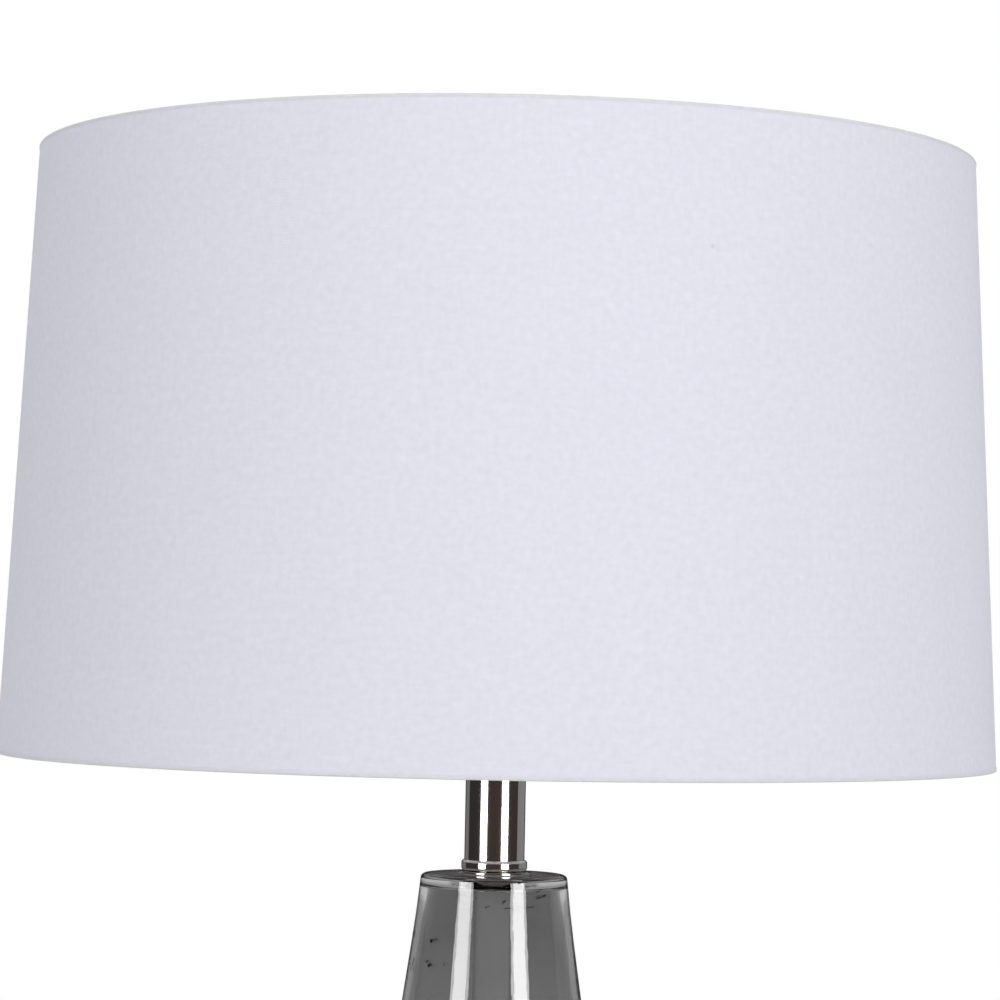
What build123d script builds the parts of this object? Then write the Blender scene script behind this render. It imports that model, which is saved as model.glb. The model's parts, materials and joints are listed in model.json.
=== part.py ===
from build123d import *
from math import radians, tan
import os

# Table lamp: a hollow tapered glass column on a weighted metal foot, a turned metal neck, a
# turn-knob socket with its bulb, and a tapered drum shade hung on a harp by a finial.
# Millimetres, +Z up, origin on the axis in the plane that the lamp stands on.
# The front is towards -Y, the harp lies in the XZ plane and the cord inlet is at the back.

# ---------------------------------------------------------------- fits and clearances
pipe_clearance = 0.15      # radial room round the lamp pipe in every hole it passes
seat_gap = 0.05            # room between glued, crimped or spot-welded neighbours
slide_clearance = 0.10     # radial room of a ferrule on its rod
turn_clearance = 0.05      # radial room of a shaft in its bore
free_gap = 0.30            # room between curved faces that move past each other

# ---------------------------------------------------------------- foot
felt_thickness = 2.0
felt_inset = 2.5           # the felt's edge stays this far inside the foot's edge
foot_radius = 84.0
foot_height = 22.0
foot_wall = 2.5
foot_roof = 3.0            # thickness of the foot's top plate
foot_top_round = 5.0
foot_bottom_round = 0.8
foot_boss_height = 4.0     # raised disc that centres the glass from inside
foot_boss_round = 1.0
glass_centring_gap = 0.4   # radial room between that disc and the glass
weight_thickness = 11.0
weight_inset = 1.0         # radial room between the weight and the foot's wall
weight_slot_width = 15.0   # radial slot that lets the cord reach the pipe
weight_slot_start = 14.0   # distance of the slot's inner end from the axis
washer_radius = 16.0
washer_thickness = 1.6
nut_across_flats = 14.3
nut_height = 4.6
nut_chamfer = 0.5
pipe_end_projection = 0.8  # how far the pipe stands out below its nut

# ---------------------------------------------------------------- cord inlet
inlet_bore_radius = 3.3
inlet_barrel_radius = 4.8
inlet_flange_radius = 6.4
inlet_flange_thickness = 1.6
inlet_flange_round = 0.8
inlet_catch_radius = 5.4
inlet_catch_thickness = 1.4
inlet_height = 9.0         # height of the inlet's axis above the foot's lower edge

# ---------------------------------------------------------------- lamp pipe and inner sleeve
pipe_radius = 4.85
pipe_bore_radius = 3.2
sleeve_tube_radius = 8.0
sleeve_tube_wall = 0.9
sleeve_tube_end_gap = 0.2  # room between the sleeve's top and the glass

# ---------------------------------------------------------------- glass column
gasket_thickness = 1.0
glass_height = 330.2
glass_top_radius = 29.9
glass_shoulder_depth = 15.0    # depth at which the upper taper turns into the wider flare
glass_shoulder_radius = 31.4
glass_shoulder_blend = 12.0    # length on each side of the shoulder that its rounding takes
glass_ledge = 7.0              # width of the foot's top that shows round the glass
glass_wall = 3.0
glass_top_thickness = 5.0
glass_hole_radius = 8.2
glass_edge_round = 2.0
glass_foot_round = 1.4
glass_inner_round = 0.8

# ---------------------------------------------------------------- neck
neck_washer_thickness = 0.5
neck_foot_radius = 15.2
neck_foot_height = 1.0
neck_foot_edge = 0.4           # height of the upright edge below the flare
neck_spigot_gap = 0.3          # radial room of the spigot in the glass's hole
neck_spigot_length = 4.6
neck_collar_radius = 13.5
neck_collar_height = 4.4
neck_collar_round = 1.3
neck_stem_radius = 12.35
neck_stem_height = 43.0
neck_wall = 1.4
neck_top_radius = 17.3
neck_flare_height = 7.0        # height over which the straight flare line opens
neck_flare_blend = 4.0         # length on each side of the flare's corner that its rounding takes
neck_cap_thickness = 1.6
neck_cap_lip = 1.5             # depth of the lip that centres the cap in the neck
neck_cap_round = 0.6

# ---------------------------------------------------------------- harp saddle
saddle_thickness = 2.0
saddle_width = 12.0
saddle_half_span = 36.0        # from the lamp's axis to each harp leg
saddle_bend_radius = 8.0
saddle_rise = 14.0             # from the saddle's underside to the ferrule's seat
saddle_boss_radius = 3.9
saddle_boss_height = 3.2
saddle_pin_height = 8.0

# ---------------------------------------------------------------- harp and its ferrules
harp_wire_radius = 2.0
harp_height = 199.8            # from the legs' ends to the middle of the top wire
harp_half_width = 57.0
harp_leg_straight = 34.0       # height of the corner above the straight legs
harp_hip_height = 86.0         # height of the corner where the sides turn upright
harp_leg_round = 50.0
harp_hip_round = 70.0
harp_top_round = 44.0
ferrule_length = 18.0
ferrule_wall = 1.9
ferrule_round = 0.6
harp_block_length = 16.0
harp_block_width = 8.0
harp_block_wall = 1.5          # metal over and under the wire in the block
harp_block_round = 0.8
harp_flange_radius = 9.0
harp_flange_thickness = 1.6
stud_radius = 3.1
stud_length = 14.0             # above the spider's hub
stud_depth = 1.4               # seat of the stud in the block's flange
stud_chamfer = 0.5

# ---------------------------------------------------------------- socket
cap_neck_radius = 8.0
cap_neck_height = 8.0
cap_radius = 16.9
cap_dome_height = 14.5         # height of the corner where the dome turns upright
cap_height = 24.0
cap_wall = 0.6
cap_dome_round = 4.0
cap_neck_round = 1.6
pipe_thread_in_cap = 7.0
set_screw_radius = 1.5
set_screw_height = 4.2
set_screw_projection = 0.6
set_screw_slot_width = 0.5
shell_start = 16.5             # the shell's lower edge above the cap's underside
shell_top = 60.0
shell_wall = 0.6
shell_bead_radius = 0.9        # roll at the shell's mouth stands out by this much
shell_bead_height = 2.2
shell_bead_round = 0.6
liner_wall = 0.6               # insulating sleeve inside the shell
liner_end_inset = 2.5          # the sleeve's ends stay this far inside the shell's
switch_hole_radius = 3.4
core_top = 36.0                # top of the switch block above the cap's underside
core_bore_length = 10.0        # depth of the switch shaft's bore in the block
screw_shell_radius = 13.3      # clear inner radius that takes the bulb's cap
screw_shell_wall = 0.4
screw_shell_height = 21.0
screw_shell_hole_radius = 7.5
tongue_length = 11.0
tongue_width = 6.0
tongue_thickness = 0.5
tongue_rise = 2.6
terminal_head_radius = 3.0
terminal_head_height = 1.6
terminal_slot_width = 0.8
terminal_slot_depth = 0.7
terminal_shank_radius = 1.4
terminal_shank_length = 3.0
terminal_pocket_depth = 3.2
terminal_pocket_size = 9.0
terminal_height = 26.0

# ---------------------------------------------------------------- switch
switch_shaft_radius = 2.4
switch_height = 30.0           # axis of the switch above the cap's underside
knob_gap = 3.4                 # from the shell to the knob
knob_length = 14.0
knob_radius = 7.0
knob_tip_radius = 6.2
knob_round = 1.0
knob_flute_count = 12
knob_flute_radius = 0.9
knob_bore_depth = 9.0

# ---------------------------------------------------------------- bulb
bulb_seat_gap = 0.2
bulb_contact_radius = 3.0
bulb_contact_height = 1.2
bulb_contact_round = 0.6
bulb_insulator_radius = 8.0
bulb_insulator_height = 3.4
bulb_cap_height = 26.0         # from the contact's tip to the cap's upper edge
bulb_cap_wall = 0.4
bulb_cap_cone_height = 3.0
bulb_cap_round = 1.2
bulb_length = 108.0
bulb_radius = 30.0
bulb_glass_wall = 0.8
bulb_glass_insert = 5.0        # depth of the glass's neck inside the cap
bulb_belly_depth = 42.0        # from the bulb's top to the corner below the belly
bulb_belly_round = 42.0
bulb_neck_depth = 72.0         # from the bulb's top to the corner above the neck
bulb_neck_round = 20.0

# ---------------------------------------------------------------- shade
shade_height = 245.8
shade_bottom_radius = 203.2
shade_taper = 11.7             # the upper rim's radius is smaller by this much
fabric_thickness = 0.5
shade_board_thickness = 0.8
ring_wire_radius = 1.5
hem_thickness = 0.5
hem_outer_leg = 1.6
hem_inner_overlap = 0.8        # the hem's inner leg ends this far past the ring wire
hem_round = 0.7
hem_snip_gap = 0.2             # room round each spider arm in the upper hem

# ---------------------------------------------------------------- spider
spider_drop = 10.0             # from the top ring's plane down to the arms at the hub
spider_wire_radius = 1.5
spider_arm_count = 3
spider_first_arm_angle = 90.0
spider_bend_round = 6.0
spider_bend_inset = 9.0        # the arms turn level again this far inside the ring
spider_hub_radius = 15.0
spider_hub_thickness = 1.6
spider_hub_hole_radius = 5.55
spider_arm_overlap = 5.2       # length of each arm that lies on the hub

# ---------------------------------------------------------------- finial
finial_base_radius = 8.0
finial_base_height = 2.4
finial_base_round = 0.7
finial_neck_radius = 6.3
finial_neck_height = 5.4
finial_belly_height = 12.5     # height of the corner where the ball's flare turns upright
finial_ball_radius = 9.0
finial_height = 26.0
finial_round = 4.4
insert_wall = 1.6
insert_length = 11.0
finial_bore_depth = 16.5

# ---------------------------------------------------------------- heights that follow
foot_z = felt_thickness
foot_top_z = foot_z + foot_height
foot_inner_top_z = foot_top_z - foot_roof
weight_bottom_z = foot_inner_top_z - weight_thickness
washer_bottom_z = weight_bottom_z - washer_thickness
nut_bottom_z = washer_bottom_z - nut_height
pipe_bottom_z = nut_bottom_z - pipe_end_projection
glass_bottom_z = foot_top_z + gasket_thickness
glass_top_z = glass_bottom_z + glass_height
neck_foot_z = glass_top_z + neck_washer_thickness
neck_collar_z = neck_foot_z + neck_foot_height
neck_stem_z = neck_collar_z + neck_collar_height
neck_top_z = neck_stem_z + neck_stem_height
saddle_z = neck_top_z + neck_cap_thickness
ferrule_z = saddle_z + saddle_rise
harp_leg_z = ferrule_z + saddle_pin_height
harp_wire_z = harp_leg_z + harp_height
harp_flange_z = harp_wire_z + harp_wire_radius + harp_block_wall
hub_z = harp_flange_z + harp_flange_thickness
hub_top_z = hub_z + spider_hub_thickness
arm_z = hub_top_z + seat_gap + spider_wire_radius
top_ring_z = arm_z + spider_drop
shade_top_z = top_ring_z + ring_wire_radius + seat_gap + hem_thickness
shade_bottom_z = shade_top_z - shade_height
bottom_ring_z = shade_bottom_z + hem_thickness + seat_gap + ring_wire_radius
socket_z = saddle_z + saddle_thickness
core_bottom_z = socket_z + shell_start + liner_end_inset
core_top_z = socket_z + core_top
shell_top_z = socket_z + shell_top
switch_z = socket_z + switch_height
bulb_z = core_top_z + tongue_thickness + tongue_rise + bulb_seat_gap
bulb_top_z = bulb_z + bulb_length
bulb_cap_top_z = bulb_z + bulb_cap_height

# ---------------------------------------------------------------- radii that follow
pipe_hole_radius = pipe_radius + pipe_clearance
foot_inner_radius = foot_radius - foot_wall
glass_bottom_radius = foot_radius - glass_ledge
glass_inner_radius = glass_bottom_radius - glass_wall
foot_boss_radius = glass_inner_radius - glass_centring_gap
shell_radius = cap_radius - cap_wall - seat_gap
shell_inner_radius = shell_radius - shell_wall
liner_radius = shell_inner_radius - seat_gap
core_radius = liner_radius - liner_wall - seat_gap
ferrule_radius = harp_wire_radius + slide_clearance + ferrule_wall
bulb_cap_radius = screw_shell_radius - free_gap
bulb_neck_radius = bulb_cap_radius - bulb_cap_wall - seat_gap
insert_bore_radius = stud_radius + slide_clearance
insert_radius = insert_bore_radius + insert_wall


def turned(*corners):
    """Solid turned about the lamp's axis from a closed outline of (radius, height[, rounding])."""
    points = [(corner[0], corner[1]) for corner in corners]
    rounds = [corner[2] if len(corner) > 2 else 0 for corner in corners]
    if any(rounds):
        outline = FilletPolyline(*points, radius=rounds, close=True)
    else:
        outline = Polyline(*points, close=True)
    return revolve(Plane.XZ * make_face(outline.edges()), Axis.Z)


def ring(outer_radius, inner_radius, bottom_z, top_z, outer_round=0):
    """Flat ring, or a tube, with its two outer edges rounded."""
    return turned(
        (inner_radius, bottom_z),
        (outer_radius, bottom_z, outer_round),
        (outer_radius, top_z, outer_round),
        (inner_radius, top_z),
    )


def blend_round(before, corner, after, length):
    """Radius of the rounding that starts and ends this far from an outline's corner."""
    first = Vector(*corner) - Vector(*before)
    second = Vector(*after) - Vector(*corner)
    return length / tan(radians(first.get_angle(second)) / 2)


def rod_z(radius, bottom_z, top_z, x=0, y=0):
    """Upright round rod."""
    height = top_z - bottom_z
    return Pos(x, y, bottom_z + height / 2) * Cylinder(radius, height)


def rod_y(radius, start_y, end_y, z, x=0):
    """Round rod along Y."""
    middle = (start_y + end_y) / 2
    return Pos(x, middle, z) * Rot(90, 0, 0) * Cylinder(radius, abs(end_y - start_y))


def rod_x(radius, start_x, end_x, z, y=0):
    """Round rod along X."""
    middle = (start_x + end_x) / 2
    return Pos(middle, y, z) * Rot(0, 90, 0) * Cylinder(radius, abs(end_x - start_x))


def swept_wire(points, rounds, wire_radius):
    """Round wire along straight runs and tangent arcs in the XZ plane."""
    path = Plane.XZ * FilletPolyline(*points, radius=rounds)
    section = Plane(origin=path @ 0, z_dir=path % 0) * Circle(wire_radius)
    return sweep(section, path=path)


# ---------------------------------------------------------------- foot and weight
def make_felt_pad():
    return ring(foot_radius - felt_inset, 0, 0, felt_thickness)


def make_base_foot():
    shell = turned(
        (pipe_hole_radius, foot_inner_top_z),
        (foot_inner_radius, foot_inner_top_z),
        (foot_inner_radius, foot_z),
        (foot_radius, foot_z, foot_bottom_round),
        (foot_radius, foot_top_z, foot_top_round),
        (foot_boss_radius, foot_top_z),
        (foot_boss_radius, foot_top_z + foot_boss_height, foot_boss_round),
        (pipe_hole_radius, foot_top_z + foot_boss_height),
    )
    inlet_hole = rod_y(
        inlet_barrel_radius + seat_gap,
        foot_inner_radius - foot_wall,
        foot_radius + foot_wall,
        foot_z + inlet_height,
    )
    return shell - inlet_hole


def make_cord_bushing():
    # The wall is curved, so the flat flange and catch each stand clear of its bulge.
    wall_sag = foot_inner_radius - (foot_inner_radius**2 - inlet_catch_radius**2) ** 0.5
    flange_face_y = foot_radius + seat_gap
    catch_face_y = foot_inner_radius - wall_sag - seat_gap
    z = foot_z + inlet_height
    barrel = rod_y(inlet_barrel_radius, catch_face_y, flange_face_y, z)
    flange = rod_y(inlet_flange_radius, flange_face_y, flange_face_y + inlet_flange_thickness, z)
    catch = rod_y(inlet_catch_radius, catch_face_y - inlet_catch_thickness, catch_face_y, z)
    rim = (flange.edges().filter_by(GeomType.CIRCLE).sort_by(Axis.Y))[-1]
    flange = fillet(rim, inlet_flange_round)
    bore = rod_y(inlet_bore_radius, foot_inner_radius - foot_radius, 2 * foot_radius, z)
    return barrel + flange + catch - bore


def make_base_weight():
    disc = ring(foot_inner_radius - weight_inset, pipe_hole_radius, weight_bottom_z, foot_inner_top_z)
    slot_length = foot_radius - weight_slot_start
    slot = Pos(0, weight_slot_start + slot_length / 2, weight_bottom_z + weight_thickness / 2)
    return disc - slot * Box(weight_slot_width, slot_length, 2 * weight_thickness)


def make_base_washer():
    return ring(washer_radius, pipe_hole_radius, washer_bottom_z, weight_bottom_z)


def make_base_nut():
    corner_radius = nut_across_flats / 3**0.5
    blank = Pos(0, 0, nut_bottom_z) * extrude(RegularPolygon(corner_radius, 6), nut_height)
    trim = ring(corner_radius, 0, nut_bottom_z, washer_bottom_z, nut_chamfer)
    return (blank & trim) - rod_z(pipe_hole_radius, pipe_bottom_z, weight_bottom_z)


def make_lamp_pipe():
    return ring(pipe_radius, pipe_bore_radius, pipe_bottom_z, socket_z + pipe_thread_in_cap)


def make_inner_sleeve():
    return ring(
        sleeve_tube_radius,
        sleeve_tube_radius - sleeve_tube_wall,
        foot_top_z + foot_boss_height,
        glass_top_z - glass_top_thickness - sleeve_tube_end_gap,
    )


# ---------------------------------------------------------------- glass
def make_lower_gasket():
    return ring(
        glass_bottom_radius - glass_foot_round,
        foot_boss_radius + seat_gap,
        foot_top_z,
        glass_bottom_z,
    )


def make_glass_body():
    flare = glass_bottom_radius - glass_shoulder_radius
    flare_height = glass_height - glass_shoulder_depth
    inner_rise = glass_height - glass_top_thickness
    inner_top_radius = glass_inner_radius - flare / flare_height * inner_rise
    top = (glass_top_radius, glass_top_z)
    shoulder = (glass_shoulder_radius, glass_top_z - glass_shoulder_depth)
    bottom = (glass_bottom_radius, glass_bottom_z)
    return turned(
        (glass_hole_radius, glass_top_z),
        (*top, glass_edge_round),
        (*shoulder, blend_round(top, shoulder, bottom, glass_shoulder_blend)),
        (*bottom, glass_foot_round),
        (glass_inner_radius, glass_bottom_z),
        (inner_top_radius, glass_top_z - glass_top_thickness, glass_inner_round),
        (glass_hole_radius, glass_top_z - glass_top_thickness),
    )


# ---------------------------------------------------------------- neck
def make_neck_washer():
    return ring(neck_foot_radius - neck_foot_edge, glass_hole_radius, glass_top_z, neck_foot_z)


def make_neck_foot():
    spigot_radius = glass_hole_radius - neck_spigot_gap
    return turned(
        (pipe_hole_radius, glass_top_z - neck_spigot_length),
        (spigot_radius, glass_top_z - neck_spigot_length),
        (spigot_radius, neck_foot_z),
        (neck_foot_radius, neck_foot_z),
        (neck_foot_radius, neck_foot_z + neck_foot_edge),
        (neck_stem_radius, neck_collar_z),
        (pipe_hole_radius, neck_collar_z),
    )


def make_neck_collar():
    return ring(
        neck_collar_radius, pipe_hole_radius, neck_collar_z, neck_stem_z, neck_collar_round
    )


def neck_flare_slope():
    return (neck_top_radius - neck_stem_radius) / neck_flare_height


def make_neck_stem():
    flare_z = neck_top_z - neck_flare_height
    low = (neck_stem_radius, neck_stem_z)
    corner = (neck_stem_radius, flare_z)
    top = (neck_top_radius, neck_top_z)
    flare_round = blend_round(low, corner, top, neck_flare_blend)
    return turned(
        (neck_stem_radius - neck_wall, neck_stem_z),
        low,
        (*corner, flare_round),
        top,
        (neck_top_radius - neck_wall, neck_top_z),
        (neck_stem_radius - neck_wall, flare_z, flare_round + neck_wall),
    )


def make_neck_cap():
    lip_radius = neck_top_radius - neck_wall - neck_flare_slope() * neck_cap_lip - seat_gap
    return turned(
        (pipe_hole_radius, neck_top_z - neck_cap_lip),
        (lip_radius, neck_top_z - neck_cap_lip),
        (lip_radius, neck_top_z),
        (neck_top_radius, neck_top_z),
        (neck_top_radius, saddle_z, neck_cap_round),
        (pipe_hole_radius, saddle_z),
    )


# ---------------------------------------------------------------- harp
def make_harp_saddle():
    middle_z = saddle_z + saddle_thickness / 2
    path = Plane.XZ * FilletPolyline(
        (-saddle_half_span, ferrule_z),
        (-saddle_half_span, middle_z),
        (saddle_half_span, middle_z),
        (saddle_half_span, ferrule_z),
        radius=saddle_bend_radius,
    )
    section_plane = Plane(origin=path @ 0, x_dir=(0, 1, 0), z_dir=path % 0)
    saddle = sweep(section_plane * Rectangle(saddle_width, saddle_thickness), path=path)
    for side in (-1, 1):
        x = side * saddle_half_span
        saddle += rod_z(saddle_boss_radius, ferrule_z - saddle_boss_height, ferrule_z, x)
        saddle += rod_z(harp_wire_radius, ferrule_z, harp_leg_z, x)
    return saddle - rod_z(pipe_hole_radius, neck_top_z, ferrule_z)


def make_harp_bow():
    leg = saddle_half_span
    side = harp_half_width
    leg_z = harp_leg_z + harp_leg_straight
    hip_z = harp_leg_z + harp_hip_height
    points = [
        (-leg, harp_leg_z),
        (-leg, leg_z),
        (-side, hip_z),
        (-side, harp_wire_z),
        (side, harp_wire_z),
        (side, hip_z),
        (leg, leg_z),
        (leg, harp_leg_z),
    ]
    left_rounds = [harp_leg_round, harp_hip_round, harp_top_round]
    return swept_wire(points, left_rounds + left_rounds[::-1], harp_wire_radius)


def make_harp_ferrule(side):
    tube = ring(
        ferrule_radius,
        harp_wire_radius + slide_clearance,
        ferrule_z,
        ferrule_z + ferrule_length,
        ferrule_round,
    )
    return Pos(side * saddle_half_span, 0, 0) * tube


def make_harp_block():
    block_bottom_z = harp_wire_z - harp_wire_radius - harp_block_wall
    block_height = harp_flange_z - block_bottom_z
    block = Box(harp_block_length, harp_block_width, block_height)
    block = fillet(block.edges().filter_by(Axis.Z), harp_block_round)
    block = Pos(0, 0, block_bottom_z + block_height / 2) * block
    block += rod_z(harp_flange_radius, harp_flange_z, hub_z)
    block -= rod_x(
        harp_wire_radius + seat_gap, -harp_block_length, harp_block_length, harp_wire_z
    )
    return block - rod_z(stud_radius + seat_gap, hub_z - stud_depth, hub_top_z)


def make_harp_stud():
    top_z = hub_top_z + stud_length
    stud = rod_z(stud_radius, hub_z - stud_depth, top_z)
    tip = stud.edges().filter_by(GeomType.CIRCLE).sort_by(Axis.Z)[-1]
    return chamfer(tip, stud_chamfer)


# ---------------------------------------------------------------- socket
def make_socket_cap():
    dome_z = socket_z + cap_dome_height
    neck_top = socket_z + cap_neck_height
    cap = turned(
        (pipe_hole_radius, socket_z),
        (cap_neck_radius, socket_z),
        (cap_neck_radius, neck_top, cap_neck_round),
        (cap_radius, dome_z, cap_dome_round),
        (cap_radius, socket_z + cap_height),
        (cap_radius - cap_wall, socket_z + cap_height),
        (cap_radius - cap_wall, dome_z + cap_wall / 2, cap_dome_round - cap_wall),
        (cap_neck_radius - cap_wall, neck_top + cap_wall),
        (pipe_hole_radius, neck_top + cap_wall),
    )
    screw_hole = rod_y(
        set_screw_radius + seat_gap, 0, cap_radius, socket_z + set_screw_height
    )
    return cap - screw_hole


def make_cap_set_screw():
    start_y = pipe_radius + seat_gap
    end_y = cap_neck_radius + set_screw_projection
    z = socket_z + set_screw_height
    screw = rod_y(set_screw_radius, start_y, end_y, z)
    slot = Pos(0, end_y, z) * Box(
        2 * set_screw_radius, 2 * set_screw_projection, set_screw_slot_width
    )
    return screw - slot


def switch_opening():
    return rod_y(switch_hole_radius, -2 * cap_radius, 0, switch_z)


def make_socket_shell():
    shell_bottom = socket_z + shell_start
    bead_z = shell_top_z - shell_bead_height
    shell = turned(
        (shell_inner_radius, shell_bottom),
        (shell_radius, shell_bottom),
        (shell_radius, bead_z),
        (shell_radius + shell_bead_radius, bead_z, shell_bead_round),
        (shell_radius + shell_bead_radius, shell_top_z, shell_bead_round),
        (shell_inner_radius, shell_top_z),
    )
    return shell - switch_opening()


def make_socket_insulator():
    sleeve = ring(
        liner_radius,
        liner_radius - liner_wall,
        socket_z + shell_start + liner_end_inset,
        shell_top_z - liner_end_inset,
    )
    return sleeve - switch_opening()


def make_socket_core():
    core = rod_z(core_radius, core_bottom_z, core_top_z)
    bore_end_y = core_bore_length - core_radius
    bore_radius = switch_shaft_radius + turn_clearance
    core -= rod_y(bore_radius, -2 * core_radius, bore_end_y, switch_z)
    for side in (-1, 1):
        pocket = Box(2 * terminal_pocket_depth, terminal_pocket_size, terminal_pocket_size)
        core -= Pos(side * core_radius, 0, socket_z + terminal_height) * pocket
        floor_x = side * (core_radius - terminal_pocket_depth)
        core -= rod_x(
            terminal_shank_radius + seat_gap,
            floor_x,
            floor_x - side * terminal_shank_length,
            socket_z + terminal_height,
        )
    return core


def make_screw_shell():
    outer = screw_shell_radius + screw_shell_wall
    floor_top = core_top_z + screw_shell_wall
    return turned(
        (screw_shell_hole_radius, core_top_z),
        (outer, core_top_z),
        (outer, core_top_z + screw_shell_height),
        (screw_shell_radius, core_top_z + screw_shell_height),
        (screw_shell_radius, floor_top),
        (screw_shell_hole_radius, floor_top),
    )


def make_centre_contact():
    half = tongue_length / 2
    low = core_top_z
    outline = Polyline(
        (-half, low),
        (half, low),
        (half, low + tongue_thickness),
        (tongue_thickness - half, low + tongue_thickness),
        (half / 2, low + tongue_rise),
        (half / 2, low + tongue_rise + tongue_thickness),
        (-half / 2, low + tongue_rise + tongue_thickness),
        (-half, low + 2 * tongue_thickness),
        close=True,
    )
    face = Plane.XZ * make_face(outline.edges())
    return extrude(face, tongue_width / 2, both=True)


def make_terminal_screws():
    screws = []
    for side in (-1, 1):
        floor_x = side * (core_radius - terminal_pocket_depth)
        top_x = floor_x + side * terminal_head_height
        z = socket_z + terminal_height
        head = rod_x(terminal_head_radius, floor_x, top_x, z)
        shank = rod_x(
            terminal_shank_radius, floor_x, floor_x - side * terminal_shank_length, z
        )
        slot = Pos(top_x, 0, z) * Box(
            2 * terminal_slot_depth, 2 * terminal_head_radius, terminal_slot_width
        )
        screws.append(head + shank - slot)
    return screws


# ---------------------------------------------------------------- switch
def make_switch_shaft():
    inner_y = core_bore_length - core_radius - seat_gap
    tip_y = -shell_radius - knob_gap - knob_bore_depth
    return rod_y(switch_shaft_radius, tip_y, inner_y, switch_z)


def degrees_of(slope):
    """Angle of a slope, in degrees."""
    return Vector(1, 0, 0).get_angle(Vector(1, slope, 0))


def make_switch_knob():
    near_y = -shell_radius - knob_gap
    blank = turned(
        (0, 0),
        (knob_radius, 0, knob_round),
        (knob_tip_radius, knob_length, knob_round),
        (0, knob_length),
    )
    tilt = -degrees_of((knob_radius - knob_tip_radius) / knob_length)
    flute = Pos(knob_radius, 0, 0) * Rot(0, tilt, 0) * Cylinder(knob_flute_radius, 3 * knob_length)
    for index in range(knob_flute_count):
        blank -= Rot(0, 0, 360 * index / knob_flute_count) * flute
    knob = Pos(0, near_y, switch_z) * Rot(90, 0, 0) * blank
    bore = rod_y(switch_shaft_radius + seat_gap / 2, near_y - knob_bore_depth, near_y, switch_z)
    return knob - bore


# ---------------------------------------------------------------- bulb
def make_bulb_contact():
    return turned(
        (0, bulb_z),
        (bulb_contact_radius, bulb_z, bulb_contact_round),
        (bulb_contact_radius, bulb_z + bulb_contact_height),
        (0, bulb_z + bulb_contact_height),
    )


def bulb_cap_floor_z():
    return bulb_z + bulb_contact_height + bulb_insulator_height


def make_bulb_insulator():
    return turned(
        (0, bulb_z + bulb_contact_height),
        (bulb_contact_radius, bulb_z + bulb_contact_height),
        (bulb_insulator_radius, bulb_cap_floor_z()),
        (0, bulb_cap_floor_z()),
    )


def make_bulb_cap():
    floor_z = bulb_cap_floor_z()
    cone_z = floor_z + bulb_cap_cone_height
    inner = bulb_cap_radius - bulb_cap_wall
    return turned(
        (0, floor_z),
        (bulb_insulator_radius, floor_z),
        (bulb_cap_radius, cone_z, bulb_cap_round),
        (bulb_cap_radius, bulb_cap_top_z),
        (inner, bulb_cap_top_z),
        (inner, cone_z + bulb_cap_wall),
        (bulb_insulator_radius, floor_z + bulb_cap_wall),
        (0, floor_z + bulb_cap_wall),
    )


def make_bulb_glass():
    wall = bulb_glass_wall
    bottom_z = bulb_cap_top_z - bulb_glass_insert
    belly_z = bulb_top_z - bulb_belly_depth
    neck_z = bulb_top_z - bulb_neck_depth
    dome_round = bulb_radius - seat_gap
    return turned(
        (0, bulb_top_z),
        (bulb_radius, bulb_top_z, dome_round),
        (bulb_radius, belly_z, bulb_belly_round),
        (bulb_neck_radius, neck_z, bulb_neck_round),
        (bulb_neck_radius, bottom_z),
        (bulb_neck_radius - wall, bottom_z),
        (bulb_neck_radius - wall, neck_z, bulb_neck_round + wall),
        (bulb_radius - wall, belly_z, bulb_belly_round - wall),
        (bulb_radius - wall, bulb_top_z - wall, dome_round - wall),
        (0, bulb_top_z - wall),
    )


# ---------------------------------------------------------------- shade
def shade_radius(z):
    """Outer radius of the fabric at a height."""
    return shade_bottom_radius - shade_taper * (z - shade_bottom_z) / shade_height


def board_radius(z):
    """Outer radius of the stiff lining board at a height."""
    return shade_radius(z) - fabric_thickness - seat_gap


def ring_middle_radius(z):
    """Radius of the middle of a ring wire that lies against the board's inside."""
    return board_radius(z) - shade_board_thickness - seat_gap - ring_wire_radius


def cone_wall(radius_at, thickness):
    """Tapered wall between the folds of the two hems."""
    low = shade_bottom_z + hem_thickness + seat_gap
    high = shade_top_z - hem_thickness - seat_gap
    return turned(
        (radius_at(low) - thickness, low),
        (radius_at(low), low),
        (radius_at(high), high),
        (radius_at(high) - thickness, high),
    )


def make_shade_fabric():
    return cone_wall(shade_radius, fabric_thickness)


def make_shade_board():
    return cone_wall(board_radius, shade_board_thickness)


def make_wire_ring(z):
    circle = Plane.XZ * Pos(ring_middle_radius(z), z) * Circle(ring_wire_radius)
    return revolve(circle, Axis.Z)


def make_hem(edge_z, ring_z, into):
    """Rolled edge that wraps the fabric, the board and the ring wire; into is +1 or -1."""
    leg_z = edge_z + into * hem_outer_leg
    fold_z = edge_z + into * hem_thickness
    inner_z = ring_z + into * (ring_wire_radius + hem_inner_overlap)
    inner_radius = ring_middle_radius(ring_z) - ring_wire_radius - seat_gap
    return turned(
        (shade_radius(leg_z) + seat_gap, leg_z),
        (shade_radius(leg_z) + seat_gap + hem_thickness, leg_z),
        (shade_radius(edge_z) + seat_gap + hem_thickness, edge_z, hem_round),
        (inner_radius - hem_thickness, edge_z, hem_round),
        (inner_radius - hem_thickness, inner_z),
        (inner_radius, inner_z),
        (inner_radius, fold_z),
        (shade_radius(fold_z) + seat_gap, fold_z),
    )


def spider_angles():
    step = 360 / spider_arm_count
    return [spider_first_arm_angle + step * index for index in range(spider_arm_count)]


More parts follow.
